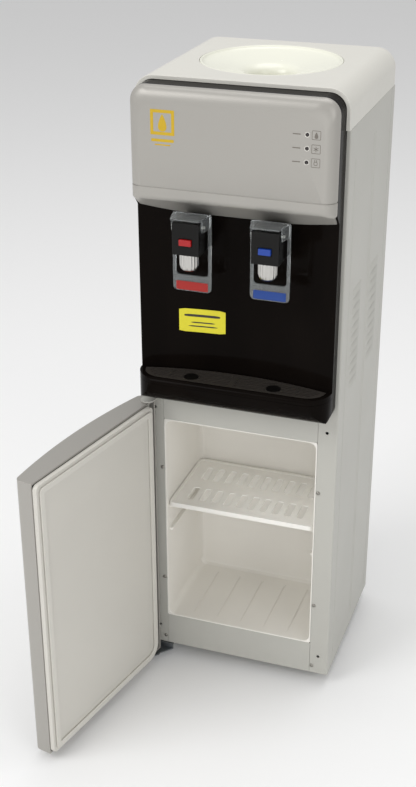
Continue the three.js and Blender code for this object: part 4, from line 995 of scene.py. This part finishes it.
def droplet(x, z, size, power=1.0):
    """Outline of a drop with its point up."""
    points = []
    for step in range(28):
        angle = 2 * math.pi * step / 28
        pinch = ((1 + math.cos(angle)) / 2) ** power
        across = size * 0.5 * math.sin(angle) * (1 - pinch * 0.75)
        points.append((x + across, z + size * (0.62 * math.cos(angle) - 0.04)))
    return points


def symbols():
    marks = []
    for index in range(3):
        z = 916 - 18.7 * index
        marks.append(square_line(114.2, z - 6.2, 12.4, 0.7, 1.2))
        x = 120.4
        if index == 0:
            marks.append(cut(printed(droplet(x, z, 7)), prism(droplet(x, z - 0.5, 4.6), FRONT - 70, FRONT - 60, "y")))
        elif index == 1:
            for turn in (0, 60, 120):
                a, b = 3.8 * math.cos(math.radians(turn + 90)), 3.8 * math.sin(math.radians(turn + 90))
                marks.append(stroke(x - a, z - b, x + a, z + b, 0.8))
        else:
            marks.append(square_line(x - 2.6, z - 3.4, 5.2, 0.8, 1.6))
            marks += [stroke(x + side, z + 1.6, x + side, z + 4.2, 0.9) for side in (-1.3, 1.3)]
        marks.append(printed(rounded(88, z - 0.7, 99, z + 0.7, 0.5, 3)))
    return gathered(*marks)


piece("panel_symbols", symbols(), ink("grey_ink", srgb(118, 112, 104)))
badge = [square_line(-114, 898, 35, 4.4, 0.4), printed(droplet(-96.5, 915.5, 19, 0.8), 0.02),
         printed(rounded(-113, 888.5, -80, 892.5, 0.8, 3)), printed(rounded(-108, 883.5, -85, 885.2, 0.6, 3))]
piece("panel_badge", gathered(*badge), ink("gold_ink", srgb(206, 170, 20)))

# ---- top cover ------------------------------------------------------------------------------
# One pale injection moulding that caps the cabinet: large rolls along both sides, a thin lip
# round its open front and a round rebate in which the bottle seat drops.

COVER_PLASTIC = moulded("cover_plastic", srgb(214, 212, 204), 0.34, grain=1000, depth=0.14, cloud=0.05,
                        specular_ior_level=0.5)
COVER = span("top_cover")
SEAT_Y = FRONT + 138


def cover_outline(inset, foot):
    roll = 29 - inset
    return rounded(COVER[0] + inset, foot, COVER[3] - inset, COVER[5] - inset, (0, 0, roll, roll), 12)


def top_cover():
    foot, top = COVER[2], COVER[5]
    front, back = COVER[1], COVER[4]
    loops = []
    for ease, y in ((0.9, front), (0.25, front + 0.35), (0, front + 1.1), (0, back - 9)):
        loops.append(laid(cover_outline(ease, foot), y, "y"))
    for step in range(1, 9):
        turn = math.pi / 2 * step / 8
        loops.append(laid(cover_outline(9 * (1 - math.cos(turn)), foot), back - 9 + 9 * math.sin(turn), "y"))
    shell = cut(loft(loops), prism(cover_outline(2.5, foot - 5), front + 4, back - 2.5, "y"),
                prism(cover_outline(5.6, foot - 5), front - 1, front + 5, "y"))
    rebate = turned([(96, top - 7.1), (110, top - 7.1), (110, top - 1), (96, top - 1)], 0, SEAT_Y, 0, 96)
    well = turned([(0, top - 3.1), (104.4, top - 3.1), (104.4, top - 0.7), (105.2, top + 0.2), (105.2, top + 5),
                   (0, top + 5)], 0, SEAT_Y, 0, 96)
    bore = turned([(0, top - 30), (100.5, top - 30), (100.5, top + 10), (0, top + 10)], 0, SEAT_Y, 0, 96)
    return cut(joined(shell, rebate), well, bore)


piece("cover_moulding", top_cover(), COVER_PLASTIC, stands_for=["top_cover"], edge=0.5)

# ---- bottle seat and probe ------------------------------------------------------------------
# A cream dish drops into the cover. Its throat narrows to a hollow probe that opens the
# bottle's cap and lets water down and air up.

SEAT_PLASTIC = moulded("seat_plastic", srgb(232, 232, 218), 0.24, grain=1500, depth=0.04, cloud=0.04,
                       specular_ior_level=0.6)


def bottle_seat():
    top, foot = span("bottle_seat")[5], 969 - 71
    inside = [(22, foot), (29, foot + 3.5), (30.6, foot + 9), (32.4, top - 34), (33.2, top - 29)]
    inside += curve((33.2, top - 29), (34.6, top - 18.6), (46, top - 14.6), 8)[1:]
    inside += curve((46, top - 14.6), (78, top - 8), (95, top - 4.4), 8)[1:]
    inside += curve((95, top - 4.4), (99.6, top - 3.4), (100.6, top - 0.8), 5)[1:] + [(101.4, top)]
    outside = [(103.2, top), (104, top - 0.9), (104, top - 2.5), (100, top - 2.5), (98.8, top - 5.8),
               (62.5, top - 13.6), (44, top - 18.6), (37, top - 23), (35.6, top - 30), (32.6, foot + 5.4),
               (22, foot - 2.6)]
    return turned(inside + outside, 0, SEAT_Y, 0, 96)


def bottle_probe():
    foot = span("bottle_probe")[2]
    outside = [(5, foot), (21.6, foot), (21.6, foot + 2.4), (12.6, foot + 3.4), (11.8, foot + 6), (10, foot + 38),
               (9.4, foot + 42), (7.6, foot + 45.4), (6.4, foot + 46), (5, foot + 45.6)]
    probe = turned(outside, 0, SEAT_Y, 0, 48)
    windows = [prism(rounded(-2, foot + 26, 2, foot + 38, 1.9, 5), SEAT_Y - 30, SEAT_Y + 30, "y"),
               prism(rounded(SEAT_Y - 2, foot + 26, SEAT_Y + 2, foot + 38, 1.9, 5), -30, 30, "x")]
    return cut(probe, *windows)


piece("seat_dish", bottle_seat(), SEAT_PLASTIC, stands_for=["bottle_seat"], edge=0.3)
piece("seat_probe", bottle_probe(), SEAT_PLASTIC, stands_for=["bottle_probe"], edge=0.3)


# ---- taps -----------------------------------------------------------------------------------
# Two moulded black tap bodies on shanks through the curved wall, each with a fluted chrome
# spout, a clear paddle lever hung on a plain pin, and a coloured lock button in its face.

CHROME = plated_metal("chrome_plate", srgb(206, 204, 200), 0.12)
PIN_PLASTIC = moulded("pin_plastic", srgb(222, 220, 212), 0.4)
BUTTON_RED = moulded("button_red", srgb(165, 14, 20), 0.35, grain=1400, depth=0.06)
BUTTON_BLUE = moulded("button_blue", srgb(14, 60, 152), 0.35, grain=1400, depth=0.06)
LABEL_RED = ink("label_red", srgb(162, 22, 12))
LABEL_BLUE = ink("label_blue", srgb(9, 60, 138))


def clear_acrylic():
    """Clear moulded plastic with faint flow lines and the haze that wiping leaves."""
    clear = Finish("clear_acrylic", srgb(238, 243, 244), 0.06, transmission_weight=0.92, ior=1.46)
    flow = clear.noise(1, 4, clear.stretched(40, 40, 9))
    clear.set(roughness=0.03 + flow * 0.1)
    clear.shaded(0.05, flow)
    clear.bump(flow, 0.04, 0.0006)
    return clear.material


CLEAR_ACRYLIC = clear_acrylic()


TAP_FACE, TAP_FOOT, TAP_CROWN, TAP_HALF = 73.0, 734.0, 781.0, 20.0
PADDLE_BACK, PADDLE_THICKNESS, HOOD_REACH, PIN_HEIGHT = 44.0, 2.6, 32.0, 774.0


def tap_body(x, button_node):
    outline = [(14, TAP_FOOT), (TAP_FACE, TAP_FOOT), (TAP_FACE, TAP_CROWN), (24, TAP_CROWN), (14, TAP_CROWN - 6)]
    bx0, by0, bz0, bx1, by1, bz1 = span(button_node)
    pocket = block(bx0 - 0.4, by0 - 6, bz0 - 0.4, bx1 + 0.4, by1 + 4, bz1 + 0.4)
    return cut(side_on(outline, x - TAP_HALF, x + TAP_HALF), pocket)


def fluted_spout(x, node):
    x0, y0, z0, x1, y1, z1 = span(node)
    radius, axis_y = (x1 - x0) / 2 - 0.3, (y0 + y1) / 2
    profile = [(0, z1), (radius - 0.8, z1), (radius - 0.4, z1 - 1), (radius - 0.4, z0 + 8), (radius - 1.4, z0 + 3),
               (radius - 4, z0), (radius / 2, z0), (radius / 2, z0 + 12), (0, z0 + 12)]

    def ridge(angle, height):
        return 0.5 * math.cos(18 * angle) if z0 + 8 <= height < z1 - 0.5 else 0.0

    return turned(profile, x, axis_y, 0, 176, flute=ridge)


def hood_plan(x, inset, front):
    """The hood narrows from the paddle towards the front."""
    def half(forward):
        return 28.5 - (forward - PADDLE_BACK) * 7.5 / HOOD_REACH - inset
    rear, end = half(PADDLE_BACK), half(front)
    return [(x - rear, FRONT - PADDLE_BACK), (x - end, FRONT - front), (x + end, FRONT - front),
            (x + rear, FRONT - PADDLE_BACK)]


def paddle_lever(x, node):
    x0, _, z0, x1, _, z1 = span(node)
    back, face = FRONT - PADDLE_BACK, FRONT - PADDLE_BACK - PADDLE_THICKNESS
    frame_outline = prism(rounded(x0, z0, x1, z1, (7, 7, 3, 3), 8), face, back, "y")
    window = prism(rounded(x0 + 4.5, 695, x1 - 4.5, z1 - 2.4, (6, 6, 0, 0), 8), face - 1, back + 1, "y")
    roof = prism(hood_plan(x, 0, PADDLE_BACK + HOOD_REACH), z1 - 2, z1, "z")
    cheeks = cut(prism(hood_plan(x, 0, 66), PIN_HEIGHT - 6, z1, "z"),
                 prism(hood_plan(x, 2.6, 69), PIN_HEIGHT - 7, z1 + 1, "z"))
    return joined(cut(frame_outline, window), roof, cheeks)


def cross_pin(node):
    x0, y0, z0, x1, y1, z1 = span(node)
    radius, middle = (z1 - z0) / 2, ((y0 + y1) / 2, (z0 + z1) / 2)
    ring = [(middle[0] + radius * math.cos(math.pi * step / 16), middle[1] + radius * math.sin(math.pi * step / 16))
            for step in range(32)]
    return prism(ring, x0, x1, "x")


for use, x, button_colour, label_colour, button_slot in (
        ("hot", -58.0, BUTTON_RED, LABEL_RED, "red_plastic"), ("cold", 58.0, BUTTON_BLUE, LABEL_BLUE, "blue_plastic")):
    button = f"{use}_lock_button"
    piece(f"{use}_tap_housing", tap_body(x, button), SATIN_BLACK,
          stands_for=[f"{use}_tap_body"], edge=0.9)
    piece(f"{use}_spout_fluted", fluted_spout(x, f"{use}_spout"), CHROME, stands_for=[f"{use}_spout"])
    piece(f"{use}_paddle", paddle_lever(x, f"{use}_lever"), CLEAR_ACRYLIC, body=f"{use}_lever",
          stands_for=[f"{use}_lever"], edge=0.4)
    piece(f"{use}_pivot_pin", cross_pin(f"{use}_lever_pin"), PIN_PLASTIC,
          stands_for=[f"{use}_lever_pin"], edge=0.3)
    bx0, by0, bz0, bx1, by1, bz1 = span(button)
    piece(f"{use}_lock_key", block(bx0, by0, bz0, bx1, by1, bz1), button_colour, body=button,
          stands_for=[button], edge=0.8)
    label = prism(rounded(x - 24, 672.5, x + 24, 685.5, 1.2, 4), FRONT - 46.9, FRONT - 46.6, "y")
    piece(f"{use}_paddle_label", label, label_colour, body=f"{use}_lever")

# ---- hinge brackets -------------------------------------------------------------------------
# Pressed steel plates that carry the door's pins: a zinc-plated one under the base pan, and a
# coated one fixed to the front of the column above the door.

coated("lower_hinge_bracket", ZINC_PLATE)
coated("upper_hinge_bracket", PANEL_COAT)

# ---- door -----------------------------------------------------------------------------------
# A bowed silver-lacquered shell with a snapped-in grey inner panel and a pale magnetic gasket.
# It turns on two plastic bushes.

DOOR_PLASTIC = moulded("door_inner_plastic", srgb(208, 205, 197), 0.42, grain=1200, depth=0.08)
GASKET_RUBBER = moulded("gasket_rubber", srgb(214, 211, 203), 0.6, grain=700, depth=0.15)
HINGE_X, HINGE_Y, OPEN_ANGLE = -143.0, -161.0, 102.0
DOOR_PLACE = Matrix.Translation((HINGE_X, HINGE_Y, 0)) @ Matrix.Rotation(math.radians(-OPEN_ANGLE), 4, "Z")
DOOR_FOOT, DOOR_CROWN, DOOR_SKIN = -5.0, 469.5, 3.0


def shell_plan(inset):
    """Plan of the bowed shell seen from above, closed; its open side faces the cabinet."""
    near, far, edge, corner = -12 + inset, 297 - inset, -23 + inset, 10 - inset
    points = [(near, 6.5 + (2 if inset else 0))]
    points += [(near + corner + corner * math.cos(math.pi + math.pi / 16 * step),
                edge + corner + corner * math.sin(math.pi + math.pi / 16 * step)) for step in range(9)]
    for step in range(1, 40):
        along = step / 40
        points.append((near + corner + (far - near - 2 * corner) * along, edge - 11 * (1 - (2 * along - 1) ** 2)))
    points += [(far - corner + corner * math.cos(-math.pi / 2 + math.pi / 16 * step),
                edge + corner + corner * math.sin(-math.pi / 2 + math.pi / 16 * step)) for step in range(9)]
    return points + [(far, points[0][1])]


def door_shell():
    shell = cut(prism(shell_plan(0), DOOR_FOOT, DOOR_CROWN, "z"),
                prism(shell_plan(DOOR_SKIN), DOOR_FOOT + DOOR_SKIN, DOOR_CROWN - DOOR_SKIN, "z"))
    bores = gathered(*[turned([(0, 0), (5.9, 0), (5.9, 5), (0, 5)], 0, 0, z, 32) for z in (-6, 465.5)])
    return cut(shell, bores)


def inner_door_panel():
    """A raised field inside a dished border, with one large corner beside the lower hinge."""
    outline = rounded(6.5, -2, 295.5, 466.5, (25, 8, 8, 8), 10)
    panel = prism(outline, 6.9, 14.2, "y")
    field = rounded(30, 22, 272, 442, (20, 8, 8, 8), 10)
    lip = rounded(25, 17, 277, 447, (23, 11, 11, 11), 10)
    return cut(panel, loft([laid(field, 12.6, "y"), laid(lip, 15.2, "y")]))


def ring_seal():
    outer = prism(rounded(12, 3.5, 290, 461, (22, 7, 7, 7), 10), 14.8, 17, "y")
    return cut(outer, prism(rounded(21, 12.5, 281, 452, (15, 3, 3, 3), 10), 14, 18, "y"))


coated("door_bush_lower", PIN_PLASTIC)
coated("door_bush_upper", PIN_PLASTIC)
piece("door_shell_bowed", moved(door_shell(), DOOR_PLACE), SILVER_LACQUER, body="door",
      stands_for=["door_shell"], edge=0.7)
piece("door_inner_moulding", moved(inner_door_panel(), DOOR_PLACE), DOOR_PLASTIC, body="door",
      stands_for=["door_inner_panel"], edge=0.6)
piece("door_seal", moved(ring_seal(), DOOR_PLACE), GASKET_RUBBER, body="door",
      stands_for=["door_gasket"], edge=0.5)

# ---- cooling coil and rear fittings ---------------------------------------------------------
# The enamelled cooling coil stands open on the back, with two rocker switches in a bezel, a
# drain cap and a gland for the cord.

COIL_ENAMEL = moulded("coil_enamel", srgb(20, 20, 22), 0.34, grain=500, depth=0.14)
ROCKER_BLACK = moulded("rocker_black", srgb(26, 25, 24), 0.38, grain=1300, depth=0.08)
coated("condenser", COIL_ENAMEL)
coated("switch_bezel", SATIN_BLACK)
coated("heating_rocker", BUTTON_RED)
coated("cooling_rocker", ROCKER_BLACK)
coated("drain_cap", ROCKER_BLACK)
coated("cord_gland", SATIN_BLACK)

# ---- tanks and machinery inside -------------------------------------------------------------
# Spun stainless tanks stand on a coated steel deck, the cold one in a moulded foam jacket, with
# silicone hoses to the taps. The compressor and its drier stand on the base pan.

STAINLESS = plated_metal("spun_stainless", srgb(188, 187, 184), 0.28)
FOAM_JACKET = moulded("foam_jacket", srgb(226, 224, 214), 0.85, grain=260, depth=0.5)
SILICONE = moulded("silicone_hose", srgb(214, 217, 216), 0.5, grain=900, depth=0.06)
BOARD_MASK = moulded("board_mask", srgb(32, 92, 52), 0.3, grain=600, depth=0.1)
coated("inner_deck", PANEL_COAT)
coated("cold_tank", STAINLESS)
coated("hot_tank", STAINLESS)
coated("tank_insulation", FOAM_JACKET)
coated("cold_hose", SILICONE)
coated("hot_hose", SILICONE)
coated("compressor", COIL_ENAMEL)
coated("filter_drier", ZINC_PLATE)
coated("display_board", BOARD_MASK)
